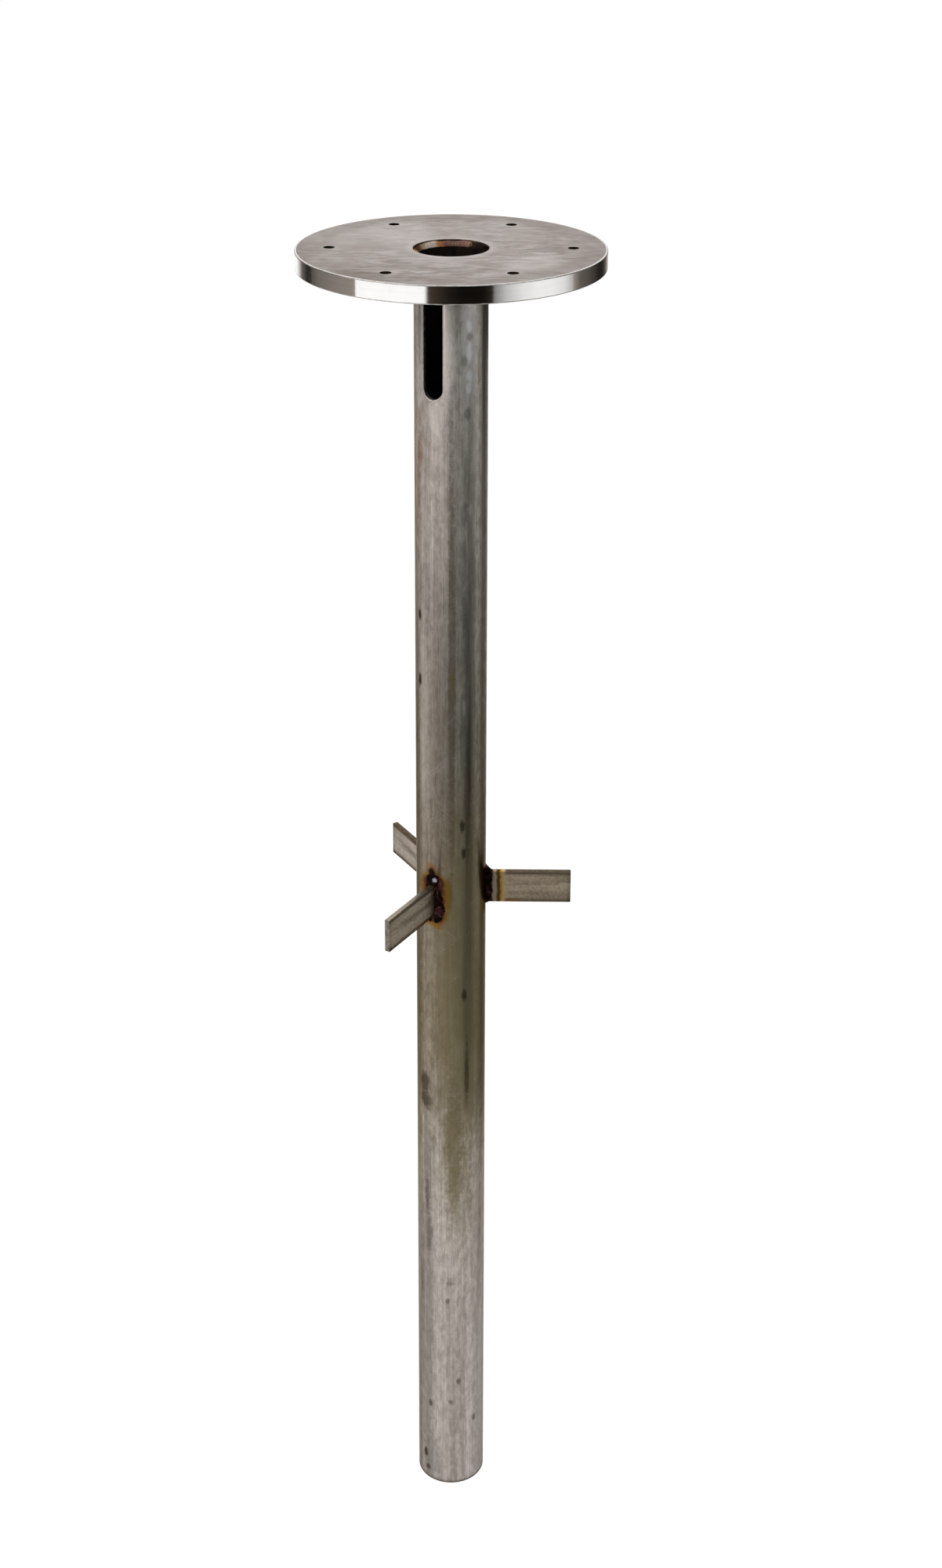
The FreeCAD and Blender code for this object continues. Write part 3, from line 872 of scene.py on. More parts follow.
# Stains on the tube, the lower layers first, with painted shade, a painted reflection and painted
# highlights among them: colour, angle from the front in degrees, depth below the flange's face, half width
# and half height in millimetres, and strength
TUBE_STAINS = [
    (STRAW_FILM, 54, 520, 26, 175, 0.55),
    # The grey films are partly painted shade, darkening the tube towards its left and right edges
    (GREY_FILM_AND_SIDE_SHADE, -16, 800, 8, 200, 0.4),
    (GREY_FILM_AND_SIDE_SHADE, 80, 730, 8, 170, 0.3),
    (BROWN_FILM_SHADOW_AND_REFLECTION, 92, 420, 3, 240, 0.12),
    # painted reflection: a thin dark brown line down the middle of the tube's side that faces the camera
    (BROWN_FILM_SHADOW_AND_REFLECTION, 32, 275, 3.2, 200, 0.62),
    (LILAC_PALE, 97, 860, 7, 130, 0.35),
    (GREY_FILM_AND_SIDE_SHADE, -13, 660, 5, 50, 0.4),
    (BROWN_FILM_SHADOW_AND_REFLECTION, 58, 378, 2.6, 60, 0.5),
    # painted highlights: pale patches below and to the right of the slot
    (PALE_RUB_AND_HIGHLIGHT, 8, 106, 8, 14, 0.35),
    (BRIGHT_PAINTED_HIGHLIGHT, 24, 58, 7, 48, 0.7),
    (GREY_FILM_AND_SIDE_SHADE, -6, 925, 10, 26, 0.45),
    (PALE_RUB_AND_HIGHLIGHT, -19, 320, 6, 105, 0.2),
    (RUST, -30, 160, 3, 45, 0.3),
    (RUST, -25, 131, 3.5, 17, 0.5),
    (RUST, -26, 108, 3, 10, 0.35),
    (DARK_SPOT, -28, 246, 2.4, 5, 0.9),
    (DARK_SPOT, -28, 293, 2.4, 6, 0.9),
    (AMBER_FILM, 33, 290, 1.8, 8, 0.5),
    # pale lilac and bluish marks high on the tube's right
    (LILAC_PALE, 60, 62, 7, 46, 0.42),
    (COLD_PALE, 59, 46, 2.6, 5, 0.5),
    (COLD_PALE, 60, 63, 2.8, 9, 0.6),
    (COLD_PALE, 60, 79, 2.6, 5, 0.5),
    (COLD_PALE, 59, 87, 2.4, 5, 0.45),
    (GREEN_FILM, 61, 53, 3, 3.4, 0.4),
    (GREEN_FILM, 51, 69, 3, 5, 0.45),
    (GREEN_FILM, 57, 104, 3, 5, 0.55),
    (PALE_RUB_AND_HIGHLIGHT, 63, 170, 1.8, 6, 0.5),
    (PALE_RUB_AND_HIGHLIGHT, 52, 310, 1.4, 7, 0.5),
    (GREEN_FILM, 56, 150, 3, 24, 0.3),
    (GREEN_FILM, 52, 173, 3, 12, 0.4),
    (GREEN_FILM, 50, 205, 3.5, 26, 0.3),
    (GREEN_FILM, 69, 212, 2.6, 20, 0.4),
    (GREEN_FILM, 52, 242, 2.6, 18, 0.45),
    (GREEN_FILM, 55, 262, 3, 32, 0.35),
    (GREEN_FILM, 50, 330, 3, 32, 0.3),
    (DARK_SPOT, 62, 345, 1.7, 44, 0.4),
    (DARK_SPOT, 49, 397, 2.2, 6, 0.8),
    (DARK_SPOT, 52, 418, 2, 6, 0.8),
    (DARK_SPOT, 53, 528, 2.4, 6, 0.8),
    (DARK_SPOT, 58, 592, 2.2, 32, 0.6),
    (OLIVE_FILM, 36, 650, 8, 74, 0.72),
    (OLIVE_FILM, 46, 690, 12, 50, 0.3),
    (DARK_SMUDGE, -19, 601, 6.4, 10, 0.85),
    (DARK_SMUDGE, -17, 616, 6.4, 10, 0.85),
    (DARK_SMUDGE, -14, 695, 2.8, 18, 0.5),
    (DARK_SMUDGE, -10, 726, 3.2, 20, 0.5),
    (DARK_SMUDGE, -30, 770, 1.6, 20, 0.4),
    (DARK_SMUDGE, 30, 766, 6, 2, 0.35),
    (DARK_SPOT, 25, 781, 2, 3.4, 0.6),
    (DARK_SPOT, 44, 852, 2, 3.6, 0.6),
    (DARK_SPOT, 30, 870, 2.4, 2.4, 0.5),
    (DARK_SPOT, -8, 875, 2.2, 3.4, 0.7),
    (DARK_SPOT, 75, 889, 2.4, 3.6, 0.6),
    (DARK_SPOT, -20, 922, 2.8, 5, 0.8),
    (DARK_SPOT, -14, 934, 3, 3, 0.7),
    (BROWN_FILM_SHADOW_AND_REFLECTION, 94, 441, 3.5, 24, 0.75),
    (RUST, -18, 447, 5, 4, 0.6),
    (RUST, -3, 432, 6.5, 7, 0.7),
    (RUST, 8, 474, 5.5, 3, 0.7),
    (AMBER_FILM, 27, 449, 3, 17, 0.85),
]

# The burnt place above the front lug, over the weld's temper colours
BURN_MARKS = [
    (BURNT, -2, 434, 4.2, 5.2, 1.0),
]

# A painted highlight, and red and dark red places on the lugs' welds, given as the tube's stains are
LUG_WELD_STAINS = [
    # painted highlight: a pale lilac glint on the front lug's bead, above the lug
    ((0.34, 0.32, 0.36), 4, 438.5, 1.8, 1.9, 1.0),
    ((0.1, 0.03, 0.028), 16, 441, 3, 7, 0.9),
    ((0.06, 0.014, 0.02), 12, 461, 2.4, 2.4, 0.7),
]

# Burnt, brown, bright and straw places round the weld in the flange's bore
RING_WELD_STAINS = [
    (BURNT, 150, 3, 24, 8, 1.0),
    ((0.075, 0.042, 0.036), -160, 3, 11, 6, 0.8),
    ((0.3, 0.26, 0.225), -112, 3, 8, 6, 0.8),
    ((0.2, 0.08, 0.025), -131, 3, 3, 6, 0.8),
    ((0.32, 0.22, 0.05), -62, 3, 6, 6, 0.8),
]

# Smears on the plate, seen from the photograph's side: colour, how far right and away from the middle,
# half width and half depth in millimetres, and strength
PLATE_SMEARS = [
    ((0.51, 0.49, 0.475), -52, 28, 48, 30, 0.2),
    ((0.19, 0.175, 0.164), 62, -4, 24, 12, 0.45),
    ((0.205, 0.19, 0.175), -30, -48, 30, 12, 0.3),
    ((0.205, 0.19, 0.175), 15, -62, 40, 10, 0.3),
    ((0.525, 0.5, 0.48), 52, -52, 22, 12, 0.2),
    ((0.117, 0.102, 0.09), -54, -76, 40, 14, 0.4),
]

# The rub round each of the plate's holes
HOLE_RUB = (0.5, 0.475, 0.44)
HOLE_RUB_REACH = 8 * MM
HOLE_RUB_STRENGTH = 0.25


def add_patch(nodes, tone, place, torn, stain, centre, reach, strength):
    """Lay one stain over the tone; its centre and reach go along the place's first two directions."""
    patch = nodes.group(
        STAIN_PATCH, Place=place, Centre=(*centre, 0.0), Reach=(*reach, 1.0), Torn=torn, Strength=strength)
    return nodes.blend(patch["Mask"], tone, stain)


def add_stains(nodes, tone, unrolled, torn, stains):
    """Lay the stains over the tone, one after another."""
    for stain, degrees, depth, wide, tall, strength in stains:
        centre = (math.radians(degrees) * TUBE_RADIUS, -depth * MM)
        tone = add_patch(nodes, tone, unrolled, torn, stain, centre, (wide * MM, tall * MM), strength)
    return tone


# Finishes

# The tube's steel from its foot to its top, browner in the middle
TUBE_TONES = [
    (0.0, (0.355, 0.322, 0.293)),
    (0.2, (0.387, 0.349, 0.316)),
    (0.3, (0.36, 0.323, 0.276)),
    (0.35, (0.26, 0.222, 0.172)),
    (0.4, (0.2, 0.17, 0.124)),
    (0.57, (0.205, 0.175, 0.138)),
    (0.66, (0.226, 0.2, 0.168)),
    (0.75, (0.28, 0.25, 0.222)),
    (0.85, (0.37, 0.33, 0.3)),
    (1.0, (0.405, 0.37, 0.34)),
]

# How far those tones drift up and down in patches, how far the stains' edges are torn, and how strongly
# scratches show
TONE_DRIFT = 0.03
STAIN_TEAR = 0.45
SCRATCH_STRENGTH = 0.4


def finish_tube():
    """Drawn tube: grey with lengthwise lines, browner in the middle, stained, with painted shade, shadow,
    reflection and highlights, and tinted at the lugs.
    """
    material, nodes, shader, place = new_material("drawn_tube")
    seat = nodes.group(LUG_FRAME, Place=place)
    grain = nodes.group(DRAWN_GRAIN, Place=place, Stretch=(1.0, 1.0, 0.02))
    film = nodes.group(CLOUDY_FILM, Place=nodes.vector("MULTIPLY", place, (1.0, 1.0, 0.4)), Scale=60.0)
    rise = nodes.math("DIVIDE", seat["Height"], -TUBE_FOOT)
    level = nodes.math("ADD", rise, nodes.swing(film["Patches"], TONE_DRIFT))
    tone = nodes.ramp(nodes.math("ADD", level, 1.0), TUBE_TONES)
    tone = nodes.shaded(tone, film["Mottle"], (0.78, 0.77, 0.76), (1.13, 1.13, 1.13))
    tone = nodes.shaded(tone, grain["Bands"], (0.8, 0.79, 0.78), (1.16, 1.16, 1.17))
    tone = nodes.shaded(tone, grain["Lines"], (0.86, 0.85, 0.84), (1.1, 1.1, 1.1))
    torn = nodes.swing(nodes.noise(place, scale=330.0, detail=4.0, roughness=0.65), STAIN_TEAR)
    skin = seat["Unrolled"]
    tone = add_stains(nodes, tone, skin, torn, TUBE_STAINS)
    scratches = nodes.group(FINE_SCRATCHES, Place=skin, Along=(60.0, 60.0, 0.0), Side=(900.0, -900.0, 0.0))
    tone = nodes.blend(nodes.times(scratches["Mask"], SCRATCH_STRENGTH), tone, PALE_RUB_AND_HIGHLIGHT)
    from_lug = nodes.diagonal(
        nodes.beyond(seat["Across"], LUG_HALF_THICKNESS), nodes.beyond(seat["Up"], LUG_HALF_HEIGHT))
    from_toe = nodes.math("SUBTRACT", from_lug, TUBE_TOE)
    heat = nodes.group(
        TUBE_TINT, Place=place, Steel=tone, Distance=from_toe, Reach=TUBE_TINT_REACH, Strength=0.9)
    tone = add_stains(nodes, heat["Colour"], skin, torn, BURN_MARKS)
    # painted shadow: a dark brown band along the tube's foot
    foot_shadow = nodes.span(seat["Height"], TUBE_FOOT + 1 * MM, TUBE_FOOT + 4 * MM, 0.7, 0.0)
    nodes.fill(shader, {
        "Base Color": nodes.blend(foot_shadow, tone, BROWN_FILM_SHADOW_AND_REFLECTION),
        "Roughness": nodes.span(film["Mottle"], 0.0, 1.0, 0.28, 0.18),
        "Normal": nodes.bump(grain["Lines"], strength=0.12, distance=0.04 * MM),
        "Specular Tint": (0.4, 0.38, 0.35),
    })
    return material


# painted shade: the inside's mill scale is painted nearly black
SCALE_AND_SHADE_DARK, SCALE_AND_SHADE_LIGHT = (0.003, 0.0021, 0.0013), (0.009, 0.006, 0.0037)


def finish_tube_scale_and_shade():
    """The tube's inside: dull mill scale, painted nearly black as the shade inside the tube."""
    material, nodes, shader, place = new_material("mill_scale_and_shade")
    film = nodes.group(CLOUDY_FILM, Place=place, Scale=90.0)
    nodes.fill(shader, {
        "Metallic": 0.0,
        "Specular IOR Level": 0.02,
        "Base Color": nodes.blend(film["Patches"], SCALE_AND_SHADE_DARK, SCALE_AND_SHADE_LIGHT),
        "Roughness": nodes.span(film["Patches"], 0.0, 1.0, 0.7, 0.9),
    })
    return material


# The plate's two tones, the rub round its bore and the darker tone towards its rim
FACE_DARK, FACE_LIGHT = (0.29, 0.266, 0.254), (0.383, 0.365, 0.358)
BORE_RUB = (0.48, 0.45, 0.44)
FACE_RIMWARD_DARK = (0.146, 0.124, 0.11)


def finish_flange_face():
    """Faced plate: dull warm grey with faint turning rings, smears, rubbed bore and holes."""
    material, nodes, shader, place = new_material("faced_steel")
    turn = nodes.node("VectorRotate", rotation_type="Z_AXIS")
    smeared = nodes.fill(turn, {"Vector": place, "Angle": -CAMERA_ANGLE})[0]
    smears = nodes.group(CLOUDY_FILM, Place=nodes.vector("MULTIPLY", smeared, (0.3, 1.0, 1.0)), Scale=45.0)
    film = nodes.group(CLOUDY_FILM, Place=place, Scale=26.0)
    radius = nodes.vector("LENGTH", nodes.vector("MULTIPLY", place, (1.0, 1.0, 0.0)))
    rings = nodes.noise(nodes.joined(radius), scale=1100.0, detail=2.0)
    tone = nodes.blend(film["Patches"], FACE_DARK, FACE_LIGHT)
    tone = nodes.shaded(tone, smears["Mottle"], (0.76, 0.74, 0.72), (1.13, 1.13, 1.13), share=0.8)
    tone = nodes.shaded(
        tone, rings, (0.93, 0.93, 0.92), (1.04, 1.04, 1.04), share=0.8, stops=(NOISE_LOW, NOISE_HIGH))
    rubbed = nodes.span(radius, BORE_RADIUS + 2 * MM, BORE_RADIUS + 7 * MM, 0.35, 0.0)
    tone = nodes.blend(rubbed, tone, BORE_RUB)
    torn = nodes.math("SUBTRACT", smears["Mottle"], 0.5)
    _, out, across = nodes.folded(place, HOLE_COUNT)
    tone = add_patch(
        nodes, tone, nodes.joined(out, across), torn, HOLE_RUB,
        (HOLE_RING_RADIUS, 0.0), (HOLE_RUB_REACH, HOLE_RUB_REACH), HOLE_RUB_STRENGTH)
    for smear, right, away, wide, deep, strength in PLATE_SMEARS:
        centre, reach = (right * MM, away * MM), (wide * MM, deep * MM)
        tone = add_patch(nodes, tone, smeared, torn, smear, centre, reach, strength)
    # darker towards the rim
    rimward = nodes.span(radius, FLANGE_RADIUS - 26 * MM, FLANGE_RADIUS - 12 * MM, 0.0, 0.3)
    nodes.fill(shader, {
        "Base Color": nodes.blend(rimward, tone, FACE_RIMWARD_DARK),
        "Roughness": nodes.span(smears["Mottle"], 0.0, 1.0, 0.47, 0.39),
        "Normal": nodes.bump(rings, strength=0.1, distance=0.02 * MM),
        "Specular Tint": (0.38, 0.36, 0.35),
    })
    return material


# The rim's two tones, and the film that dulls it in patches
RIM_DARK, RIM_LIGHT = (0.84, 0.83, 0.81), (0.98, 0.98, 0.97)
RIM_FILM = (0.6, 0.57, 0.53)
RIM_FILM_STRENGTH = 0.12


def finish_flange_rim():
    """Turned rim: bright steel with fine lines round it."""
    material, nodes, shader, place = new_material("turned_rim")
    lines = nodes.noise(nodes.vector("MULTIPLY", place, (4.0, 4.0, 900.0)), scale=2.0)
    film = nodes.group(CLOUDY_FILM, Place=place, Scale=60.0)
    tone = nodes.blend(lines, RIM_DARK, RIM_LIGHT)
    nodes.fill(shader, {
        "Base Color": nodes.blend(nodes.times(film["Patches"], RIM_FILM_STRENGTH), tone, RIM_FILM),
        "Roughness": nodes.span(lines, 0.2, 0.8, 0.05, 0.1),
        "Normal": nodes.bump(lines, strength=0.05, distance=0.02 * MM),
    })
    return material


# Bare steel left by a cutter: its darker and lighter tone, and its roughness in each; the tapped holes'
# tones are painted shade
BARE_CUTS = {
    "slot_edge": ((0.24, 0.215, 0.195), (0.4, 0.365, 0.34), 0.35, 0.45),
    "upper_edge": ((0.2, 0.185, 0.175), (0.36, 0.34, 0.325), 0.3, 0.4),
    "lower_edge": ((0.3, 0.28, 0.26), (0.55, 0.53, 0.5), 0.3, 0.4),
    "cut_end": ((0.03, 0.02, 0.012), (0.12, 0.1, 0.078), 0.4, 0.55),
    # painted shade: the threads' steel nearly black, for the shade inside the holes
    "tapped_hole_shade": ((0.003, 0.0025, 0.002), (0.016, 0.013, 0.009), 0.5, 0.65),
    "bore_wall": ((0.03, 0.022, 0.017), (0.1, 0.08, 0.065), 0.4, 0.5),
    "sawn_tip": ((0.12, 0.105, 0.085), (0.25, 0.22, 0.19), 0.4, 0.5),
}


def finish_bare_cut(name, dark, light, dark_roughness, light_roughness):
    """Bare steel left by a cutter: two tones in patches."""
    material, nodes, shader, place = new_material(name)
    patches = nodes.group(CLOUDY_FILM, Place=place, Scale=240.0)["Patches"]
    nodes.fill(shader, {
        "Base Color": nodes.blend(patches, dark, light),
        "Roughness": nodes.span(patches, 0.0, 1.0, dark_roughness, light_roughness),
    })
    return material


# The flat bar's two tones, the painted light that lifts the front lug and lifts and cools the left one,
# and the shades of its mottle
BAR_DARK, BAR_LIGHT = (0.245, 0.197, 0.143), (0.435, 0.356, 0.27)
FRONT_BAR_PAINTED_LIGHT, LEFT_BAR_PAINTED_LIGHT = (1.17, 1.2, 1.26), (1.03, 1.11, 1.32)
BAR_SHADES = ((0.72, 0.7, 0.67), (1.14, 1.14, 1.14))

# The scale along the bar's edges, the rust at its root, its scorched tip, and its narrow sides, painted
# lighter on the front lug
EDGE_SCALE = (0.06, 0.042, 0.026)
ROOT_RUST = (0.16, 0.065, 0.014)
TIP_SCORCH = (0.035, 0.03, 0.014)
NARROW_SIDE, FRONT_NARROW_SIDE_LIT = (0.085, 0.068, 0.053), (0.22, 0.2, 0.17)


def finish_lug():
    """Rolled flat bar: lines along it, dark scale at its edges and tip, and heat tint at its root."""
    material, nodes, shader, place = new_material("rolled_bar")
    seat = nodes.group(LUG_FRAME, Place=place)
    out, up, front = seat["Out"], seat["Up"], seat["Front"]
    grain = nodes.group(DRAWN_GRAIN, Place=nodes.joined(out, up, seat["Across"]), Stretch=(0.06, 0.9, 0.9))
    mottle = nodes.group(CLOUDY_FILM, Place=place, Scale=110.0)["Mottle"]
    tone = nodes.ramp(grain["Bands"], [(0.1, BAR_DARK), (0.9, BAR_LIGHT)])
    # painted light: the front lug's tone raised and the left lug's raised and made bluer
    tone = nodes.blend(front, tone, FRONT_BAR_PAINTED_LIGHT, "MULTIPLY")
    tone = nodes.blend(seat["Left"], tone, LEFT_BAR_PAINTED_LIGHT, "MULTIPLY")
    tone = nodes.shaded(tone, mottle, *BAR_SHADES)
    height = nodes.math("ABSOLUTE", up)
    edge = nodes.span(height, LUG_HALF_HEIGHT - 3.6 * MM, LUG_HALF_HEIGHT - 1.2 * MM, 0.0, 0.75)
    tone = nodes.blend(edge, tone, EDGE_SCALE)
    low_edge = nodes.span(up, -LUG_HALF_HEIGHT + 1.5 * MM, -LUG_HALF_HEIGHT + 4 * MM, 0.8, 0.0)
    near_root = nodes.span(out, TUBE_RADIUS + 12 * MM, TUBE_RADIUS + 34 * MM, 1.0, 0.0)
    tone = nodes.blend(nodes.times(low_edge, near_root), tone, ROOT_RUST)
    tip = nodes.span(out, LUG_TIP - 4 * MM, LUG_TIP, 0.0, 0.8)
    low_corner = nodes.span(up, -LUG_HALF_HEIGHT + 2 * MM, -LUG_HALF_HEIGHT + 6 * MM, 1.0, 0.0)
    scorched = nodes.times(tip, nodes.math("MAXIMUM", mottle, low_corner))
    tone = nodes.blend(scorched, tone, TIP_SCORCH)
    narrow = nodes.span(height, LUG_HALF_HEIGHT - 0.4 * MM, LUG_HALF_HEIGHT)
    # painted light: the front lug's narrow sides lighter than the others'
    narrow_tone = nodes.blend(front, NARROW_SIDE, FRONT_NARROW_SIDE_LIT)
    tone = nodes.blend(narrow, tone, nodes.shaded(narrow_tone, mottle, *BAR_SHADES))
    from_toe = nodes.math("SUBTRACT", out, TUBE_RADIUS + LUG_TOE)
    heat = nodes.group(
        BAR_TINT, Place=place, Steel=tone, Reach=LUG_TINT_REACH,
        Distance=nodes.math("MULTIPLY_ADD", front, FRONT_TOE_SHIFT, from_toe),
        Strength=nodes.math("MULTIPLY_ADD", front, -FRONT_TINT_LOSS, 1.0))
    nodes.fill(shader, {
        "Base Color": heat["Colour"],
        "Roughness": nodes.span(grain["Lines"], 0.0, 1.0, 0.3, 0.42),
        "Normal": nodes.bump(grain["Lines"], strength=0.1, distance=0.04 * MM),
        "Specular Tint": (0.4, 0.37, 0.33),
    })
    return material


# The welds' colours along their drift
LUG_WELD_TONES = [
    (0.4, (0.005, 0.0035, 0.003)),
    (0.6, (0.014, 0.006, 0.004)),
    (0.75, (0.035, 0.011, 0.009)),
    (0.9, (0.06, 0.045, 0.05)),
]
RING_WELD_TONES = [
    (0.2, (0.015, 0.01, 0.008)),
    (0.4, (0.06, 0.03, 0.018)),
    (0.52, (0.085, 0.045, 0.045)),
    (0.64, (0.13, 0.06, 0.022)),
    (0.8, (0.16, 0.115, 0.06)),
]

# The mottle's share in a weld's drift of colours, and how far its stains' edges are torn
WELD_MOTTLE_SHARE = 0.35
WELD_TEAR = 0.3


def finish_weld(name, tones, scale, stains):
    """Weld metal in burnt and temper colours, which drift along the bead, with burnt and bright places and
    a painted highlight.
    """
    material, nodes, shader, place = new_material(name)
    skin = nodes.group(LUG_FRAME, Place=place)["Unrolled"]
    film = nodes.group(CLOUDY_FILM, Place=place, Scale=scale)
    patches = nodes.times(film["Patches"], 1 - WELD_MOTTLE_SHARE)
    drift = nodes.math("MULTIPLY_ADD", film["Mottle"], WELD_MOTTLE_SHARE, patches)
    torn = nodes.swing(film["Mottle"], WELD_TEAR)
    nodes.fill(shader, {
        "Base Color": add_stains(nodes, nodes.ramp(drift, tones), skin, torn, stains),
        "Roughness": nodes.span(film["Mottle"], 0.0, 1.0, 0.3, 0.5),
        "Specular Tint": (0.5, 0.45, 0.45),
    })
    return material


# Studio

CAMERA_AWAY = 1.4978
CAMERA_HEIGHT = 0.3492
CAMERA_PITCH = math.radians(18.418)
IMAGE_WIDTH, IMAGE_HEIGHT = 1202, 2000
FOCAL_PIXELS = 3066.0
AXIS_COLUMN, AXIS_ROW = 575.6, 600.0

# The white that the eye sees, the room's light on the post, and the floor's grey, share of white and reach
WHITE = 1.02
ROOM_LIGHT = 0.9
FLOOR_GREY = (0.9, 0.9, 0.9)
FLOOR_WHITE_SHARE = 0.92
FLOOR_REACH = 20.0


def add_camera():
    """The camera at the photograph's place; the picture is cut a little right of and below its axis."""
    lens = bpy.data.cameras.new("camera")
    lens.lens = FOCAL_PIXELS / IMAGE_HEIGHT * lens.sensor_width
    lens.shift_x = (IMAGE_WIDTH / 2 - AXIS_COLUMN) / IMAGE_HEIGHT
    lens.shift_y = -(IMAGE_HEIGHT / 2 - AXIS_ROW) / IMAGE_HEIGHT
    camera = new_object("camera", lens)
    camera.location = around_axis(CAMERA_AWAY, CAMERA_ANGLE, CAMERA_HEIGHT).tolist()
    camera.rotation_euler = (math.pi / 2 - CAMERA_PITCH, 0, CAMERA_ANGLE)
    bpy.context.scene.camera = camera


def seen_straight(nodes):
    """1 for rays from the camera, off metal or through glass, and 0 for rays that light dull surfaces."""
    path = nodes.node("LightPath").outputs
    seen = nodes.math("MAXIMUM", path["Is Camera Ray"], path["Is Glossy Ray"])
    return nodes.math("MAXIMUM", seen, path["Is Transmission Ray"])


def add_world():
    """A white room, dimmer as a light than as a background."""
    world = bpy.data.worlds.new("white_room")
    world.use_nodes = True
    nodes = Nodes(world.node_tree)
    strength = nodes.math("MULTIPLY_ADD", seen_straight(nodes), WHITE - ROOM_LIGHT, ROOM_LIGHT)
    nodes.fill(world.node_tree.nodes["Background"], {"Color": (1.0, 1.0, 1.0), "Strength": strength})
    bpy.context.scene.world = world


def add_sheet(name, grid, material):
    """A stage sheet through a grid of points; its UVs are the shares along its columns and rows."""
    rows, columns = grid.shape[:2]
    quads = grid_faces(grid)
    across, up = np.meshgrid(np.linspace(0, 1, columns), np.linspace(0, 1, rows))
    shares = np.stack([across, up], axis=-1).reshape(-1, 2)
    mesh = bpy.data.meshes.new(name)
    mesh.from_pydata(grid.reshape(-1, 3).tolist(), [], quads.tolist())
    mesh.uv_layers.new(name="share").data.foreach_set("uv", shares[quads].ravel())
    mesh.materials.append(material)
    sheet = new_object(name, mesh)
    return sheet


def add_floor():
    """A pale floor under the foot: nearly white to the eye, with a soft shadow, and clear from below."""
    material, nodes = new_stage_material("pale_floor")
    matt = nodes.node("BsdfDiffuse", FLOOR_GREY).outputs[0]
    glow = nodes.node("Emission", (1.0, 1.0, 1.0), WHITE).outputs[0]
    white = nodes.mixed(nodes.times(seen_straight(nodes), FLOOR_WHITE_SHARE), matt, glow)
    from_below = nodes.node("NewGeometry").outputs["Backfacing"]
    nodes.node("OutputMaterial", nodes.mixed(from_below, white, nodes.clear()))
    ends = (-FLOOR_REACH, FLOOR_REACH)
    add_sheet("floor", at_height(np.stack(np.meshgrid(ends, ends), axis=-1), TUBE_FOOT), material)


WARM_CARD = (1.0, 0.88, 0.76)
BROWN_CARD = (1.0, 0.72, 0.5)
PLAIN_CARD = (1.0, 1.0, 1.0)
COOL_CARD = (0.935, 0.985, 0.955)

# Distances from the tube's axis, with the lowest and highest edge above the floor
RIM_NEAR = (1.0, 0.6, 1.2)
RIM_FAR = (1.03, 0.66, 1.2)
TUBE_NEAR = (0.5, 0.0, 0.79)

# Curved cards that only the bright steel sees: tint, first and last angle from the camera's side towards
# the right and the softness of both ends in degrees, the distance, and the glow at even steps along the
# card, in rows from foot to head
CARDS = {
    "rim_end": (WARM_CARD, -152, -116, 18, 0.5, RIM_FAR, [
        (0.4, 0.3, 0.12, 0.022, 0.04),
    ]),
    "rim_grey": (WARM_CARD, -120, -69.5, 4, 0.8, RIM_NEAR, [
        (0.07, 0.17, 0.215, 0.25, 0.28),
    ]),
    "rim_white": (PLAIN_CARD, -71, -16.5, 0.5, 0.5, RIM_FAR, [
        (1.07, 1.07),
    ]),
    "rim_black": (BROWN_CARD, -18.4, 30, 3, 2, RIM_NEAR, [
        (0.05, 0.035, 0.012, 0.004, 0.004, 0.005, 0.02),
    ]),
    "rim_pale": (PLAIN_CARD, 27, 98, 0.5, 0.5, RIM_FAR, [
        (0.12, 0.56, 0.82, 0.95, 0.92, 0.76, 0.36),
    ]),
    "rim_right": (WARM_CARD, 94, 170, 3, 3, RIM_NEAR, [
        (0.34, 0.12, 0.09, 0.05, 0.018, 0.022, 0.13, 0.5, 0.7),
    ]),
    "tube_front": (PLAIN_CARD, -112, 4, 12, 1, TUBE_NEAR, [
        (1.05, 1.15, 1.12, 0.98, 0.82, 0.65),
        (1.1, 1.35, 1.06, 0.9, 0.72, 0.55),
        (0.8, 0.97, 1.06, 1.16, 0.95, 0.62),
    ]),
    "tube_right": (COOL_CARD, 4, 148, 1, 12, TUBE_NEAR, [
        (0.65, 0.7, 0.48, 0.3, 0.42, 0.56, 0.52, 0.42, 0.58, 0.68),
        (0.52, 0.6, 0.41, 0.22, 0.16, 0.55, 0.72, 0.32, 0.78, 0.95),
        (0.62, 0.54, 0.46, 0.52, 0.38, 0.66, 0.58, 0.06, 0.1, 0.3),
    ]),
}
CARD_STEP_DEGREES = 2


def finish_card(name, tint, soft_ends, rows):
    """A glow that changes along the card and up it, and fades to clear at both ends."""
    material, nodes = new_stage_material(name)
    across, up, _ = nodes.parted(nodes.node("UVMap").outputs[0])
    glows = []
    for row in rows:
        places = np.linspace(0, 1, len(row))
        glows.append(nodes.ramp(across, [(place, (level,) * 3) for place, level in zip(places, row)]))
    glow = glows[0]
    heights = np.linspace(0, 1, len(rows))
    for low, high, higher_glow in zip(heights, heights[1:], glows[1:]):
        glow = nodes.blend(nodes.span(up, low, high), glow, higher_glow)
    light = nodes.node("Emission", nodes.blend(1.0, glow, tint, "MULTIPLY")).outputs[0]
    first_end = nodes.span(across, 0.0, soft_ends[0])
    last_end = nodes.span(nodes.math("SUBTRACT", 1.0, across), 0.0, soft_ends[1])
    nodes.node("OutputMaterial", nodes.mixed(nodes.times(first_end, last_end), nodes.clear(), light))
    return material


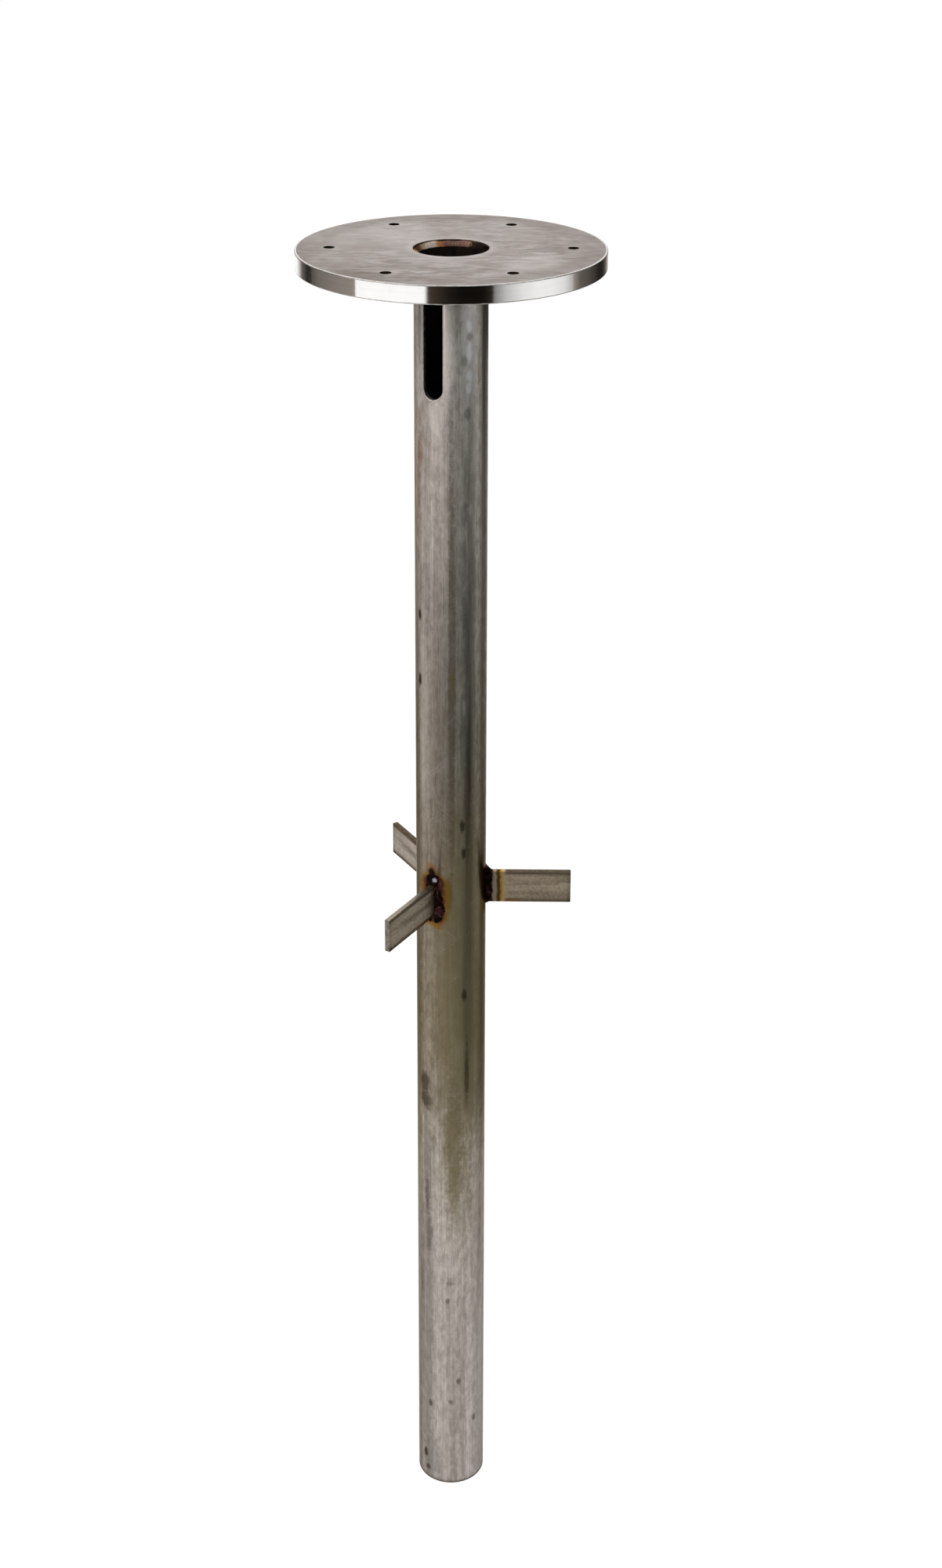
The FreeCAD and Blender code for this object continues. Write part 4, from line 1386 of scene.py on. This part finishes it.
def add_cards():
    """Stand the cards round the post, each bent round its axis."""
    for name, (tint, first, last, first_soft, last_soft, (away, low, high), rows) in CARDS.items():
        wide = last - first
        material = finish_card(f"card_{name}", tint, (first_soft / wide, last_soft / wide), rows)
        angles = np.linspace(first, last, math.ceil(wide / CARD_STEP_DEGREES) + 1)
        levels = TUBE_FOOT + np.array([[low], [high]])
        card = add_sheet(
            f"card_{name}", around_axis(away, CAMERA_ANGLE + np.radians(angles), levels), material)
        card.visible_camera = False
        card.visible_diffuse = False
        card.visible_shadow = False


# Soft boxes: the angle from the front and the rise, seen from the post's middle, in degrees, the distance
# and the side in metres, and the power
SOFT_BOXES = {
    "key": (-35, 48, 2.2, 2.4, 40),
    "fill": (75, 40, 2.6, 2.4, 27),
    "back": (-160, 28, 2.6, 2.4, 25),
}


def add_soft_boxes():
    """Hang the soft boxes round the post, each facing its middle."""
    for name, (degrees, rise, away, side, power) in SOFT_BOXES.items():
        lamp = bpy.data.lights.new(name, "AREA")
        lamp.size = side
        lamp.energy = power
        angle, lift = math.radians(degrees), math.radians(rise)
        height = TUBE_FOOT / 2 + away * math.sin(lift)
        box = new_object(name, lamp)
        box.location = around_axis(away * math.cos(lift), angle, height).tolist()
        box.rotation_euler = (math.pi / 2 - lift, 0, angle)


def build_post():
    """Make every piece of the post with its finish."""
    cuts = {name: finish_bare_cut(name, *look) for name, look in BARE_CUTS.items()}
    edges = cuts["tapped_hole_shade"], cuts["bore_wall"], cuts["upper_edge"], cuts["lower_edge"]
    make_flange(finish_flange_face(), finish_flange_rim(), *edges)
    make_tube(finish_tube(), finish_tube_scale_and_shade(), cuts["slot_edge"], cuts["cut_end"])
    rolled = finish_lug()
    for place in LUG_ANGLES:
        make_lug(place, rolled, cuts["sawn_tip"])
    ring_weld = finish_weld("ring_weld", RING_WELD_TONES, 60.0, RING_WELD_STAINS)
    lug_weld = finish_weld("lug_weld", LUG_WELD_TONES, 160.0, LUG_WELD_STAINS)
    make_beads(ring_weld, lug_weld)


bpy.context.scene.view_settings.view_transform = "Standard"
add_camera()
add_world()
add_floor()
add_cards()
add_soft_boxes()
build_post()
